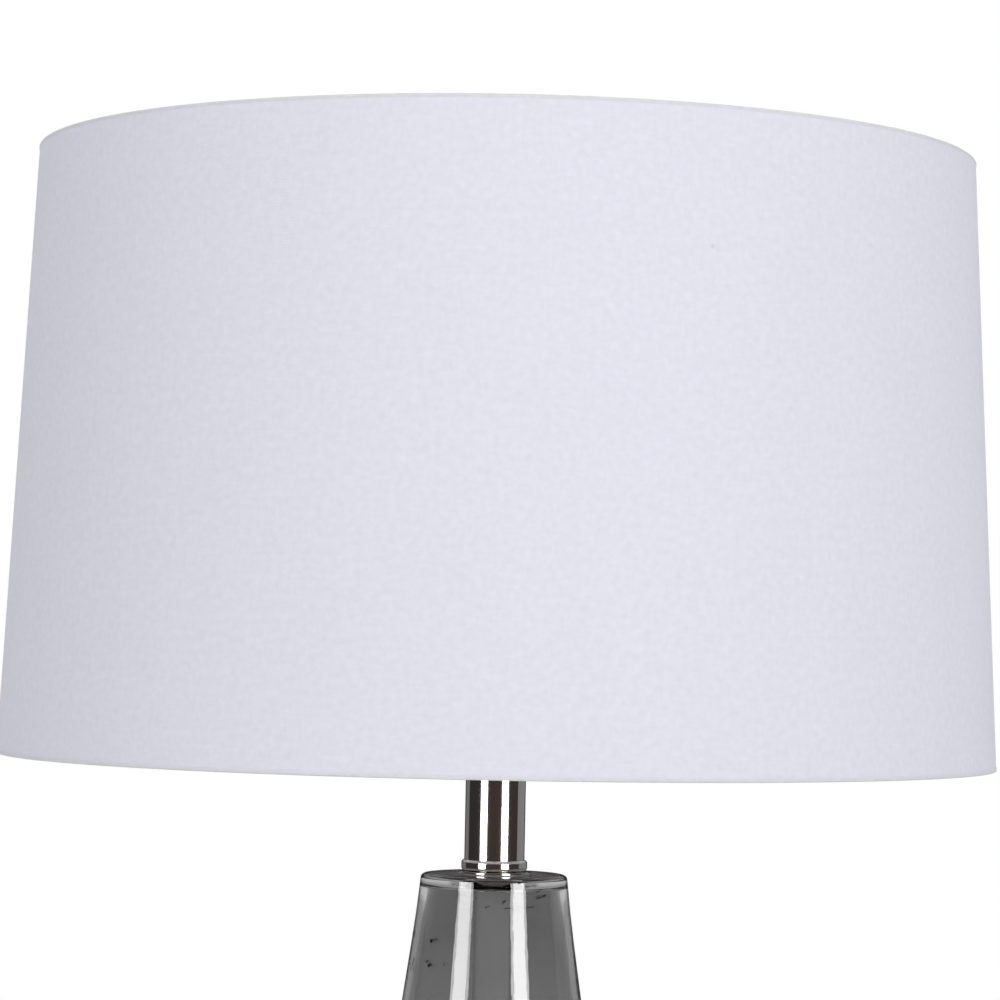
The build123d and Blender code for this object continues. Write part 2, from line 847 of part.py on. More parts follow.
def make_spider_arms():
    ring_inner = ring_middle_radius(top_ring_z) - ring_wire_radius
    level = ring_inner - spider_bend_inset
    points = [
        (spider_hub_radius - spider_arm_overlap, arm_z),
        (level - spider_drop, arm_z),
        (level, top_ring_z),
        (ring_inner - seat_gap, top_ring_z),
    ]
    arm = swept_wire(points, [spider_bend_round, spider_bend_round], spider_wire_radius)
    return [Rot(0, 0, angle) * arm for angle in spider_angles()]


def make_top_hem():
    """The upper hem is snipped where each spider arm reaches the ring."""
    hem = make_hem(shade_top_z, top_ring_z, -1)
    ring_inner = ring_middle_radius(top_ring_z) - ring_wire_radius
    snip = rod_x(
        spider_wire_radius + hem_snip_gap, ring_inner - spider_bend_inset, ring_inner, top_ring_z
    )
    for angle in spider_angles():
        hem -= Rot(0, 0, angle) * snip
    return hem


def make_spider_hub():
    return ring(spider_hub_radius, spider_hub_hole_radius, hub_z, hub_top_z)


# ---------------------------------------------------------------- finial
def make_finial_knob():
    base_top = hub_top_z + finial_base_height
    bore_radius = insert_radius + turn_clearance
    return turned(
        (bore_radius, hub_top_z),
        (finial_base_radius, hub_top_z, finial_base_round),
        (finial_base_radius, base_top, finial_base_round),
        (finial_neck_radius, base_top),
        (finial_neck_radius, hub_top_z + finial_neck_height),
        (finial_ball_radius, hub_top_z + finial_belly_height, finial_round),
        (finial_ball_radius, hub_top_z + finial_height, finial_ball_radius - finial_base_round),
        (0, hub_top_z + finial_height),
        (0, hub_top_z + finial_bore_depth),
        (bore_radius, hub_top_z + finial_bore_depth),
    )


def make_finial_insert():
    return ring(insert_radius, insert_bore_radius, hub_top_z, hub_top_z + insert_length)


# ---------------------------------------------------------------- write the pieces
def make_pieces():
    """Every separate piece of the lamp, by name."""
    return {
        "felt_pad": make_felt_pad(),
        "base_foot": make_base_foot(),
        "base_weight": make_base_weight(),
        "cord_bushing": make_cord_bushing(),
        "base_washer": make_base_washer(),
        "base_nut": make_base_nut(),
        "lamp_pipe": make_lamp_pipe(),
        "inner_sleeve": make_inner_sleeve(),
        "lower_gasket": make_lower_gasket(),
        "glass_body": make_glass_body(),
        "neck_washer": make_neck_washer(),
        "neck_foot": make_neck_foot(),
        "neck_collar": make_neck_collar(),
        "neck_stem": make_neck_stem(),
        "neck_cap": make_neck_cap(),
        "harp_saddle": make_harp_saddle(),
        "harp_bow": make_harp_bow(),
        "harp_ferrule_left": make_harp_ferrule(-1),
        "harp_ferrule_right": make_harp_ferrule(1),
        "harp_block": make_harp_block(),
        "harp_stud": make_harp_stud(),
        "socket_cap": make_socket_cap(),
        "cap_set_screw": make_cap_set_screw(),
        "socket_shell": make_socket_shell(),
        "socket_insulator": make_socket_insulator(),
        "socket_core": make_socket_core(),
        "screw_shell": make_screw_shell(),
        "centre_contact": make_centre_contact(),
        "terminal_screws": make_terminal_screws(),
        "switch_shaft": make_switch_shaft(),
        "switch_knob": make_switch_knob(),
        "bulb_contact": make_bulb_contact(),
        "bulb_insulator": make_bulb_insulator(),
        "bulb_cap": make_bulb_cap(),
        "bulb_glass": make_bulb_glass(),
        "shade_fabric": make_shade_fabric(),
        "shade_board": make_shade_board(),
        "top_ring": make_wire_ring(top_ring_z),
        "bottom_ring": make_wire_ring(bottom_ring_z),
        "top_hem": make_top_hem(),
        "bottom_hem": make_hem(shade_bottom_z, bottom_ring_z, 1),
        "spider_arms": make_spider_arms(),
        "spider_hub": make_spider_hub(),
        "finial_knob": make_finial_knob(),
        "finial_insert": make_finial_insert(),
    }


os.makedirs("parts", exist_ok=True)
for piece_name, piece in make_pieces().items():
    if isinstance(piece, list):
        piece = Compound(children=piece)
    export_step(piece, f"parts/{piece_name}.step")
print("foot to finial", round(hub_top_z + finial_height, 2), "mm")
print("shade rim above the glass", round(shade_bottom_z - glass_top_z, 2), "mm")
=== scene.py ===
# %% [markdown]
# # A table lamp with a glass column
# The lamp has a tapered column of smoke-grey glass with seed bubbles in it, a short turned
# metal neck and a white drum shade on a wire harp. Its solids come packed from the CAD model
# as a fixed frame, in metres, with the origin under the foot and the front towards -Y.
# This lesson dresses that frame: it gives every solid a finish, and it makes again the few
# pieces that plain solids can't show, such as woven cloth, wavy glass and screw threads.

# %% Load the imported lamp
import json
import math
from functools import partialmethod

import bpy
from mathutils import Matrix, Vector


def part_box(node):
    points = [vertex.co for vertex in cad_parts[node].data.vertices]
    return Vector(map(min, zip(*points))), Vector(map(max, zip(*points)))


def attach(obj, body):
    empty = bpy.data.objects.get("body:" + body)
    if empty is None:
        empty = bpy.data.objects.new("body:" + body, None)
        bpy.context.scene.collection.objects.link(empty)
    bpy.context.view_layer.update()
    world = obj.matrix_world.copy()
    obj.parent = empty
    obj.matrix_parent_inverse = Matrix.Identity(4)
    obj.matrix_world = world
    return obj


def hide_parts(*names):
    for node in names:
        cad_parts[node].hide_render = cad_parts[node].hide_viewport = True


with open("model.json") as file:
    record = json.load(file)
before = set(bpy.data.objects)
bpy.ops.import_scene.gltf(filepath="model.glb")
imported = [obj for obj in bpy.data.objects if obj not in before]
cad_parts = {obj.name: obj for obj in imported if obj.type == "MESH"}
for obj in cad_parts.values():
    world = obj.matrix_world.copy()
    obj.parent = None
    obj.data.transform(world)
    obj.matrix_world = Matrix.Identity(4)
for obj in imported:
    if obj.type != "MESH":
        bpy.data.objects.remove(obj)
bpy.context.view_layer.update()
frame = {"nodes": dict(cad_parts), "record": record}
solids = frame["nodes"]
print("solids in the frame:", len(solids))

# %% [markdown]
# ## Objects, meshes and materials
# Blender keeps data and objects apart: a mesh holds the shape, and an object puts it in the
# scene. Three short functions make them, so the steps below say only what is their own.

# %% What every step makes
def new_object(name, data):
    """An object in the scene that holds this data."""
    piece = bpy.data.objects.new(name, data)
    bpy.context.scene.collection.objects.link(piece)
    return piece


def new_mesh(name, vertices, faces):
    mesh = bpy.data.meshes.new(name)
    mesh.from_pydata(vertices, [], faces)
    return mesh


def new_material(name):
    """A material whose node tree starts with a Principled shader."""
    material = bpy.data.materials.new(name)
    material.use_nodes = True
    return material


# %% [markdown]
# ## The camera
# The photograph was taken with a long lens from just above the shade's lower rim, tilted a
# little up and rolled by one degree. A fit of the two rims' ellipses gave the distance and
# the focal length in pixels of a 1000 pixel picture, and Blender's lens length follows from
# the sensor's width. The axes go into the camera's matrix, so no Euler order matters.

# %% Place the camera
camera_distance = 1.467  # from the lamp's axis to the lens
camera_above_rim = 0.0543  # height of the lens above the shade's lower rim
camera_side = -0.00053  # how far right of the lamp's axis the lens stands
camera_pitch = math.radians(2.038)
camera_roll = math.radians(1.108)
focal_pixels = 3569.0
picture_pixels = 1000
sensor_width = 36.0  # millimetres, as lenses are named

shade_low_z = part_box("bottom_hem")[0].z
shade_high_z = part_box("top_hem")[1].z
look = Vector((0, math.cos(camera_pitch), math.sin(camera_pitch)))
level_right = Vector((1, 0, 0))
level_up = level_right.cross(look)
right = level_right * math.cos(camera_roll) + level_up * math.sin(camera_roll)
up = level_up * math.cos(camera_roll) - level_right * math.sin(camera_roll)
lens_place = Vector((camera_side, -camera_distance, shade_low_z + camera_above_rim))

camera_data = bpy.data.cameras.new("camera")
camera_data.sensor_width = sensor_width
camera_data.lens = focal_pixels / picture_pixels * sensor_width
camera = new_object("camera", camera_data)
camera_axes = Matrix((right, up, -look)).transposed().to_4x4()
camera.matrix_world = Matrix.Translation(lens_place) @ camera_axes
bpy.context.scene.camera = camera
print("lens", round(camera_data.lens, 1), "mm at height", round(lens_place.z, 3), "m")

# %% [markdown]
# ## Writing nodes as sums
# A finish is a small calculation: some noise, a pattern, a sum, a mix. Node by node in
# Python that is long to read, so two small classes carry it. `Wire` is one output socket,
# and arithmetic on it adds Math nodes. `Board` is a node tree, whose `add` makes any node
# from its type, its settings and the values or wires of its sockets. Both serve the shaders
# and the Geometry Nodes further on.

# %% A wire and a board
class Wire:
    """One output socket of a node tree. Arithmetic on it adds Math nodes."""

    def __init__(self, board, socket):
        self.board = board
        self.socket = socket

    def math(self, operation, *others):
        values = dict(enumerate((self, *others)))
        return self.board.add("ShaderNodeMath", {"operation": operation}, values)

    def out(self, name):
        """Another output of the same node."""
        return Wire(self.board, pick(self.socket.node.outputs, name))


signs = {"add": "ADD", "sub": "SUBTRACT", "mul": "MULTIPLY", "truediv": "DIVIDE", "pow": "POWER"}
for sign, operation in signs.items():
    setattr(Wire, f"__{sign}__", partialmethod(Wire.math, operation))
Wire.__radd__ = Wire.__add__
Wire.__rmul__ = Wire.__mul__
Wire.__rsub__ = lambda wire, other: wire * -1 + other


def pick(sockets, key):
    """A socket by its number, or the one in use among those of a name."""
    if isinstance(key, int):
        return sockets[key]
    return next(socket for socket in sockets if socket.name == key and socket.enabled)


class Board:
    """A node tree, with short ways to add its nodes."""

    def __init__(self, tree):
        self.tree = tree

    def add(self, kind, settings=None, sockets=None, output=0):
        node = self.tree.nodes.new(kind)
        for name, value in (settings or {}).items():
            if name == "stops":
                self.set_stops(node.color_ramp.elements, value)
            else:
                setattr(node, name, value)
        for name, value in (sockets or {}).items():
            self.plug(pick(node.inputs, name), value)
        return Wire(self, pick(node.outputs, output))

    def join(self, **parts):
        """A vector from its X, Y and Z."""
        return self.add("ShaderNodeCombineXYZ", None, parts)

    def split(self, vector):
        """The X of a vector; its Y and Z are the node's other outputs."""
        return self.add("ShaderNodeSeparateXYZ", None, {0: vector})

    def smooth_rise(self, value, low, high):
        """0 below low, 1 above high and a smooth rise between."""
        sockets = {"Value": value, "From Min": low, "From Max": high}
        return self.add("ShaderNodeMapRange", {"interpolation_type": "SMOOTHSTEP"}, sockets)

    def plug(self, socket, value):
        if isinstance(value, Wire):
            self.tree.links.new(value.socket, socket)
        else:
            socket.default_value = value

    def set_stops(self, elements, stops):
        while len(elements) < len(stops):
            elements.new(1)
        for element, (place, level) in zip(elements, stops):
            element.position = place
            element.color = (level, level, level, 1)


# %% [markdown]
# ## What the finishes share
# Every finish starts from a Principled shader. What is the same all over goes straight on
# its sockets as a number. What changes over the surface comes from noise on the piece's own
# coordinates, so it stays on the piece when the lamp's joints move.

# %% A finish
class Finish(Board):
    """A material with a Principled shader."""

    def __init__(self, name, constants, coordinates="Object"):
        self.material = new_material(name)
        super().__init__(self.material.node_tree)
        self.shader = self.tree.nodes["Principled BSDF"]
        self.place = self.add("ShaderNodeTexCoord", output=coordinates)
        self.vary(constants)

    def surface(self, colour, roughness, height=None, depth=0.0):
        """What varies over the surface: colour, gloss, and a height for a depth in metres."""
        self.vary({"Base Color": colour, "Roughness": roughness})
        if height:
            self.vary({"Normal": self.bump(height, depth)})
        return self

    def vary(self, sockets):
        for name, value in sockets.items():
            self.plug(self.shader.inputs[name], value)

    def noise(self, size, detail=2.0, roughness=0.5, stretch=None, where=None):
        """Cloudy noise from 0 to 1, of a size in metres over its stretch along each axis."""
        where = where or self.place
        if stretch:
            where = self.add("ShaderNodeMapping", None, {"Vector": where, "Scale": stretch})
        sockets = {"Vector": where, "Scale": 1 / size, "Detail": detail, "Roughness": roughness}
        return self.add("ShaderNodeTexNoise", None, sockets)

    def between(self, share, low, high):
        """Colour that goes from low to high as share goes from 0 to 1."""
        sockets = {"Factor": share, "A": opaque(low), "B": opaque(high)}
        return self.add("ShaderNodeMix", {"data_type": "RGBA"}, sockets, "Result")

    def mottled(self, share, colour, spread):
        """A colour that a share from 0 to 1 makes darker or paler."""
        return self.between(share, shade_of(colour, 1 - spread), shade_of(colour, 1 + spread))

    def steps(self, value, *stops):
        """Value through a ramp with stops of (place, level)."""
        return self.add("ShaderNodeValToRGB", {"stops": stops}, {"Fac": value})

    def bump(self, height, depth):
        """Normals tilted by a height from 0 to 1 that stands for a depth in metres."""
        return self.add("ShaderNodeBump", None, {"Height": height, "Distance": depth})


def opaque(colour):
    return colour if isinstance(colour, Wire) or len(colour) == 4 else (*colour, 1)


def shade_of(colour, share):
    """The same colour, lighter or darker."""
    return tuple(channel * share for channel in colour)


# %% [markdown]
# ## Moulded, cast and coated surfaces
# Plastic, cast iron, solder, coated wire and board differ in colour and in the size and
# depth of their grain, and all of them are a little uneven: paler and darker patches, and
# places that shine more where hands or tools have been. One function makes them all from
# these numbers, and what only one of them has is added to its result.

# %% One function for grained surfaces
def grained(name, colour, roughness, grain, depth, mottling=0.12, constants=None):
    """A surface with a fine grain, faint patches and uneven gloss."""
    finish = Finish(name, constants or {})
    patches = finish.noise(0.012, 4.0, 0.6)
    fine = finish.noise(grain, 3.0, 0.6)
    return finish.surface(
        finish.mottled(patches * 0.7 + fine * 0.3, colour, mottling),
        patches * 0.2 + (roughness - 0.1),
        fine, depth,
    )


def felt():
    """Pressed wool: a mat of short curled fibres."""
    finish = grained("felt", (0.05, 0.05, 0.055), 0.95, 0.0009, 0.0004, 0.3, {"Sheen Weight": 0.35})
    across = finish.noise(0.003, 3.0, stretch=(1, 7, 1))
    along = finish.noise(0.003, 3.0, stretch=(7, 1, 1))
    fibres = across.math("MAXIMUM", along)
    finish.vary({
        "Base Color": finish.between(fibres, (0.02, 0.02, 0.024), (0.09, 0.09, 0.095)),
        "Normal": finish.bump(fibres, 0.0004),
    })
    return finish


def fibre_board():
    """Insulating sleeve of pressed paper, with flecks."""
    paper, fleck = (0.42, 0.33, 0.22), (0.24, 0.17, 0.10)
    finish = grained("insulating_paper", paper, 0.8, 0.0006, 0.00003, 0.15)
    flecks = finish.steps(finish.noise(0.0012, 2.0), (0.6, 0), (0.72, 1))
    finish.vary({"Base Color": finish.between(flecks, paper, fleck)})
    return finish


def glossy_knob():
    """Moulded black plastic with a polish, fine scratches and a little dust."""
    finish = grained("knob_plastic", (0.02, 0.02, 0.022), 0.3, 0.0015, 0.00001, 0.1)
    scratches = finish.noise(0.02, 4.0, 0.7, stretch=(1, 1, 30))
    finish.vary({
        "Roughness": finish.steps(scratches, (0.45, 0.16), (0.7, 0.42)),
        "Coat Weight": 0.3,
    })
    return finish


grained_kinds = {  # colour, roughness, size and depth of the grain, mottling, constants
    "cast_iron": ((0.14, 0.14, 0.15), 0.7, 0.0008, 0.00015, 0.3, {"Metallic": 0.7}),
    "black_plastic": ((0.03, 0.03, 0.032), 0.5, 0.0004, 0.00002),
    "phenolic": ((0.06, 0.05, 0.045), 0.4, 0.0012, 0.00001, 0.3),
    "solder": ((0.55, 0.55, 0.56), 0.3, 0.0016, 0.00008, 0.1, {"Metallic": 1.0}),
    "bulb_insulator": ((0.03, 0.03, 0.035), 0.15, 0.002, 0.00004),
    "ring_wire": ((0.80, 0.80, 0.80), 0.4, 0.0009, 0.00002, 0.04),
    "shade_lining": ((0.86, 0.86, 0.87), 0.35, 0.002, 0.00001, 0.02),
    "clear_gasket": (
        (0.75, 0.76, 0.74), 0.35, 0.002, 0.00003, 0.04, {"Transmission Weight": 0.6, "IOR": 1.45}
    ),
}
finishes = {kind: grained(kind, *numbers) for kind, numbers in grained_kinds.items()}
finishes.update({
    "felt": felt(),
    "insulating_paper": fibre_board(),
    "knob_plastic": glossy_knob(),
})
print("grained finishes:", ", ".join(finishes))

# %% [markdown]
# ## Turned and rolled metal
# The neck, the foot, the collar and the socket are turned or spun, so their finest marks run
# round the axis. A noise that sees only the distance from the axis and the height draws them
# as rings. Under the plating the gloss is uneven, and fingers leave faint clouds. The nickel
# is a little warm, as it is in the photograph.

# %% Metals
def turned_metal(name, colour, roughness, ring_pitch, ring_depth, tarnish):
    """Metal with fine marks round the lamp's axis."""
    finish = Finish(name, {"Metallic": 1.0})
    x = finish.split(finish.place)
    y, z = x.out("Y"), x.out("Z")
    from_axis = (x * x + y * y) ** 0.5
    rings = finish.noise(ring_pitch, 3.0, 0.7, where=finish.join(X=from_axis, Z=z))
    clouds = finish.noise(0.02, 4.0, 0.6)
    spots = finish.steps(finish.noise(0.004, 5.0, 0.7), (0.62, 0), (0.75, 1))
    return finish.surface(
        finish.between(clouds * 0.6 + spots * 0.4, colour, tarnish),
        (clouds * 0.6 + rings * 0.4) * roughness + roughness * 0.5,
        rings, ring_depth,
    )


def zinc_plate():
    """Zinc plate on steel, with the faint blue and straw tints of its passivation."""
    zinc, dull_zinc = (0.55, 0.55, 0.53), (0.42, 0.42, 0.42)
    bluish, straw = (0.48, 0.53, 0.60), (0.62, 0.58, 0.42)
    finish = turned_metal("zinc_steel", zinc, 0.35, 0.0008, 0.00001, dull_zinc)
    tint = finish.noise(0.008, 2.0)
    finish.vary({"Base Color": finish.between(tint, bluish, straw)})
    return finish


metals = {  # colour, roughness, pitch and depth of the rings, colour of the tarnish
    "nickel": ((0.62, 0.61, 0.59), 0.09, 0.0003, 0.000003, (0.52, 0.50, 0.47)),
    "brass": ((0.72, 0.56, 0.28), 0.3, 0.0006, 0.00001, (0.45, 0.32, 0.16)),
    "aluminium": ((0.90, 0.90, 0.90), 0.32, 0.0008, 0.00001, (0.78, 0.78, 0.79)),
}
finishes.update({metal: turned_metal(metal, *numbers) for metal, numbers in metals.items()})
finishes["zinc_steel"] = zinc_plate()
print("metals:", ", ".join(metals), "and zinc_steel")

# %% [markdown]
# ## Glass
# Smoke glass is clear glass with a little metal oxide in it. In the photograph about an
# eighth of the white background's brightness comes through both walls. A ray crosses four
# surfaces on its way, and the Principled shader tints it by the root of the base colour at
# each, so the base colour squared, a sixth, is what is left, and dimmer cards behind the
# lamp do the rest. A slow waviness from the hot shaping bends what shows through the glass.
# Ripples and streaks run down it, fine wrinkles lie across, and a few pits mark it.

# %% Glasses
smoke_tint = (0.41, 0.41, 0.41)
smoke_relief = 0.00006  # depth of the waves, ripples, streaks and pits


def smoke_glass():
    clear = {"Transmission Weight": 1.0, "IOR": 1.5}
    finish = Finish("smoke_glass", {"Base Color": opaque(smoke_tint), **clear})
    waves = finish.noise(0.02, 1.0, stretch=(1, 1, 0.4))
    ripples = finish.noise(0.003, 2.0, 0.6, stretch=(1, 1, 0.25))
    streaks = finish.noise(0.0011, 2.0, 0.6, stretch=(1, 1, 0.06))
    wrinkles = finish.noise(0.0012, 2.0, 0.6, stretch=(0.3, 0.3, 1))
    pits = finish.steps(finish.noise(0.0025, 1.0), (0.18, 0), (0.26, 1))
    film = finish.noise(0.02, 4.0, 0.7, stretch=(1, 1, 3))
    relief = waves + ripples * 0.4 + streaks * 0.12 + wrinkles * 0.06 + pits * 0.15
    finish.vary({
        "Roughness": finish.steps(film, (0.45, 0.0), (0.75, 0.05)),
        "Normal": finish.bump(relief, smoke_relief),
    })
    return finish


def seed_glass():
    """The skin of a bubble inside the smoke glass, tinted grey as painted shade that darkens each
    bubble.
    """
    finish = Finish("seed_glass", {"Transmission Weight": 1.0, "IOR": 1.5})
    cloud = finish.noise(0.001, 2.0)
    return finish.surface(finish.between(cloud, (0.3, 0.3, 0.31), (0.7, 0.7, 0.7)), cloud * 0.04)


def frosted_glass():
    """Bulb glass etched white on the inside."""
    constants = {"Transmission Weight": 0.1, "IOR": 1.5, "Subsurface Weight": 0.1}
    finish = Finish("bulb_glass", constants)
    frost = finish.noise(0.0012, 4.0, 0.7)
    clouds = finish.noise(0.02, 2.0)
    return finish.surface(
        finish.between(clouds, (0.92, 0.92, 0.91), (0.97, 0.97, 0.96)),
        frost * 0.15 + 0.25,
        frost, 0.00001,
    )


finishes.update({"smoke_glass": smoke_glass(), "bulb_glass": frosted_glass()})
seed_finish = seed_glass()
print("glass tint:", smoke_tint[0], "so", round(smoke_tint[0] ** 2, 2), "comes through both walls")

# %% [markdown]
# ## Woven cloth
# The shade is covered with a fine plain weave. Its UV map is in metres along the threads, so
# two sine waves draw the warp and the weft at their real pitch, and their product tells
# which of the two lies on top. Noise drawn out along each set of threads makes some of them
# thicker than others, which is what one sees from a step away. The cloth is a cool white.
# One small grey knot shows in the photograph, at the upper right of the shade's front.

# %% Cloth
thread_pitch = 0.00058
lump_size = 0.0023  # thick and thin places of the threads
slub_width = 0.0013  # across a thread that is thicker for a long way
patch_size = 0.03
cloth_relief = 0.00005
cloth_white = (0.778, 0.778, 0.872)
# The hems are the same cloth made darker and greyer: painted shade along the rims.
hem_shaded_white = (0.74, 0.74, 0.79)
knot_size = 0.0011
knot_place = (0.698, 0.193, 0)  # along the cloth from its lap, and up from its lower edge


def plain_weave(name, colour, with_knot=False):
    finish = Finish(name, {"Sheen Weight": 0.1, "Specular IOR Level": 0.15}, "UV")
    across = finish.split(finish.place)
    half_wave = math.pi / thread_pitch
    warp = (across * half_wave).math("SINE")
    weft = (across.out("Y") * half_wave).math("SINE")
    on_top = (warp * weft).math("SIGN") * 0.5 + 0.5
    ridge = warp.math("ABSOLUTE") * on_top + weft.math("ABSOLUTE") * (1 - on_top)
    lumps_up = finish.noise(lump_size, 1.0, stretch=(1, 0.6, 1))
    lumps_along = finish.noise(lump_size, 1.0, stretch=(0.6, 1, 1))
    lumps = (lumps_up + lumps_along) * 0.5
    thick_warp = finish.noise(slub_width, 2.0, 0.6, stretch=(1, 0.03, 1))
    thick_weft = finish.noise(slub_width, 2.0, 0.6, stretch=(0.03, 1, 1))
    slubs = finish.steps(thick_warp.math("MAXIMUM", thick_weft), (0.6, 0), (0.85, 1))
    patches = finish.noise(patch_size, 2.0, 0.6)
    share = ridge * 0.12 + lumps * 0.8 + slubs * 0.12 + patches * 0.12 - 0.1
    cloth_colour = finish.mottled(share, colour, 0.1)
    if with_knot:
        points = {0: finish.place, 1: knot_place}
        away = finish.add("ShaderNodeVectorMath", {"operation": "DISTANCE"}, points, "Value")
        knot = finish.steps(away / knot_size, (0.35, 1), (1.0, 0))
        cloth_colour = finish.between(knot, cloth_colour, shade_of(colour, 0.85))
    return finish.surface(
        cloth_colour,
        0.95 - slubs * 0.15,
        ridge * 0.5 + lumps * 0.5, cloth_relief,
    )


finishes["shade_linen"] = plain_weave("shade_linen", cloth_white, with_knot=True)
finishes["hem_linen"] = plain_weave("hem_linen", hem_shaded_white)
print("threads per centimetre:", round(0.01 / thread_pitch, 1))

# %% [markdown]
# ## Dress the solids
# The record names a material slot for every solid. Each slot has its finish by now, so one
# loop gives each solid its own. The meshes themselves stay as they are.

# %% Give each solid its finish
def dress(piece, slot):
    """The finish of a slot, on all of a piece."""
    piece.data.materials.clear()
    piece.data.materials.append(finishes[slot].material)


for subpart in frame["record"]["subparts"]:
    dress(solids[subpart["node"]], subpart["material_slot"])

# %% [markdown]
# ## Turning outlines into meshes
# The glass, the bulb's cap and the stud are bodies of revolution. A lathe function takes
# corners of (radius, height, rounding), replaces each rounded corner by an arc, and carries
# the outline round the axis. Where the outline meets the axis, its two ends share one point.

# %% A lathe
arc_step = math.radians(7.5)
hair = 1e-6  # a length below this counts as none


def rounded(corners):
    """Outline points of a closed run of corners, (radius, height[, rounding])."""
    points = []
    for index, corner in enumerate(corners):
        here = Vector(corner[:2])
        rounding = corner[2] if len(corner) > 2 else 0
        if not rounding:
            points.append(here)
            continue
        back = (Vector(corners[index - 1][:2]) - here).normalized()
        ahead = (Vector(corners[(index + 1) % len(corners)][:2]) - here).normalized()
        half_angle = back.angle(ahead) / 2
        middle = here + (back + ahead).normalized() * (rounding / math.sin(half_angle))
        start = here + back * (rounding / math.tan(half_angle))
        sweep = (math.pi - 2 * half_angle) * math.copysign(1, back.cross(ahead))
        count = max(2, math.ceil(abs(sweep) / arc_step))
        for step in range(count + 1):
            turn = Matrix.Rotation(-sweep * step / count, 2)
            points.append(middle + turn @ (start - middle))
    return points


def add_piece(name, vertices, faces, body, slot):
    """A smooth piece that rides on a body in a slot's finish."""
    mesh = new_mesh(name, vertices, faces)
    mesh.validate()
    mesh.shade_smooth()
    piece = new_object(name, mesh)
    dress(piece, slot)
    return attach(piece, body)


def lathe(outline, segments, shift=lambda angle, z, along: 0.0):
    """Vertices and outward faces of an outline carried round the axis."""
    vertices = []
    rows = []
    for along, (radius, z) in enumerate(outline):
        if radius < hair:
            rows.append([len(vertices)] * segments)
            vertices.append((0, 0, z))
            continue
        rows.append(list(range(len(vertices), len(vertices) + segments)))
        for index in range(segments):
            angle = 2 * math.pi * index / segments
            wide = radius + shift(angle, z, along)
            vertices.append((wide * math.cos(angle), wide * math.sin(angle), z))
    faces = []
    for low, high in zip(rows, rows[1:] + rows[:1]):
        for index in range(segments):
            after = (index + 1) % segments
            corners = dict.fromkeys((low[index], low[after], high[after], high[index]))
            if len(corners) > 2:
                faces.append(list(corners))
    return vertices, faces


# %% [markdown]
# ## The glass column
# The column was shaped hot, so no wall of it is a perfect cone. The mesh repeats the solid's
# outline with fine segments, because light that passes four surfaces shows every facet, and
# moves each wall by up to an eighth of a millimetre in slow waves. Outside and inside have
# their own waves, so that the wall's thickness changes too.

# %% Make the glass
glass_low, glass_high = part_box("glass_body")
glass_top_radius = 0.0299
glass_shoulder_radius = 0.0314
glass_shoulder_depth = 0.015
glass_shoulder_blend = 0.012
glass_wall = 0.003
glass_top_thickness = 0.005
glass_hole_radius = 0.0082
glass_edge_round = 0.002
glass_foot_round = 0.0014
glass_inner_round = 0.0008
glass_wave = 0.00008
glass_segments = 240

glass_bottom_radius = 0.077
glass_inner_radius = glass_bottom_radius - glass_wall
glass_height = glass_high.z - glass_low.z
glass_shoulder_z = glass_high.z - glass_shoulder_depth
glass_slope = (glass_bottom_radius - glass_shoulder_radius) / (glass_height - glass_shoulder_depth)
glass_ceiling_z = glass_high.z - glass_top_thickness
glass_ceiling_radius = glass_inner_radius - glass_slope * (glass_ceiling_z - glass_low.z)


def blend_round(before, corner, after, length):
    """Radius of the rounding that starts this far from a corner."""
    turn = (Vector(corner) - Vector(before)).angle(Vector(after) - Vector(corner))
    return length / math.tan(turn / 2)


def glass_outline():
    top = (glass_top_radius, glass_high.z)
    shoulder = (glass_shoulder_radius, glass_shoulder_z)
    foot = (glass_bottom_radius, glass_low.z)
    shoulder_round = blend_round(top, shoulder, foot, glass_shoulder_blend)
    return rounded([
        (glass_inner_radius, glass_low.z),
        (*foot, glass_foot_round),
        (*shoulder, shoulder_round),
        (*top, glass_edge_round),
        (glass_hole_radius, glass_high.z),
        (glass_hole_radius, glass_ceiling_z),
        (glass_ceiling_radius, glass_ceiling_z, glass_inner_round),
    ])


outline = glass_outline()
print("glass outline:", len(outline), "points")

# %% [markdown]
# A long straight wall needs points between its ends too, or the waves have nothing to move.
# A wave is two sines round the column that turn with its height.

# %% Divide the long walls and wave them
wall_step = 0.006
inside_phase = 2.1


def divided(points, step):
    """The same outline with no stretch longer than a step."""
    result = []
    for here, after in zip(points, points[1:] + points[:1]):
        count = max(1, math.ceil((after - here).length / step))
        result += [here.lerp(after, index / count) for index in range(count)]
    return result


outline = divided(outline, wall_step)
last_on_top = max(index for index, point in enumerate(outline) if point.y >= glass_high.z - hair)


def hand_wave(angle, z, along):
    """Slow unevenness of a wall, other inside than outside, and none at its ends."""
    share = (z - glass_low.z) / glass_height
    fade = max(0.0, math.sin(math.pi * share))
    phase = inside_phase if along > last_on_top else 0.0
    slow = math.sin(3 * angle + 9 * share + phase)
    quick = math.sin(7 * angle - 14 * share + 2 * phase)
    return glass_wave * fade * (slow + 0.6 * quick)


glass_vertices, glass_faces = lathe(outline, glass_segments, hand_wave)
glass = add_piece("glass_column", glass_vertices, glass_faces, "base", "smoke_glass")
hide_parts("glass_body")
print("glass column:", len(glass_faces), "faces")

# %% [markdown]
# ## Rules for what repeats
# Geometry Nodes suit what follows a rule: seeds strewn in a wall, a thread along a helix, a
# sheet bent round a cone. A tree has named inputs for its sizes. The modifier is given those
# sizes by each input's identifier, its result is read once as a plain mesh, and the modifier
# goes again, so that what is left is an ordinary piece.

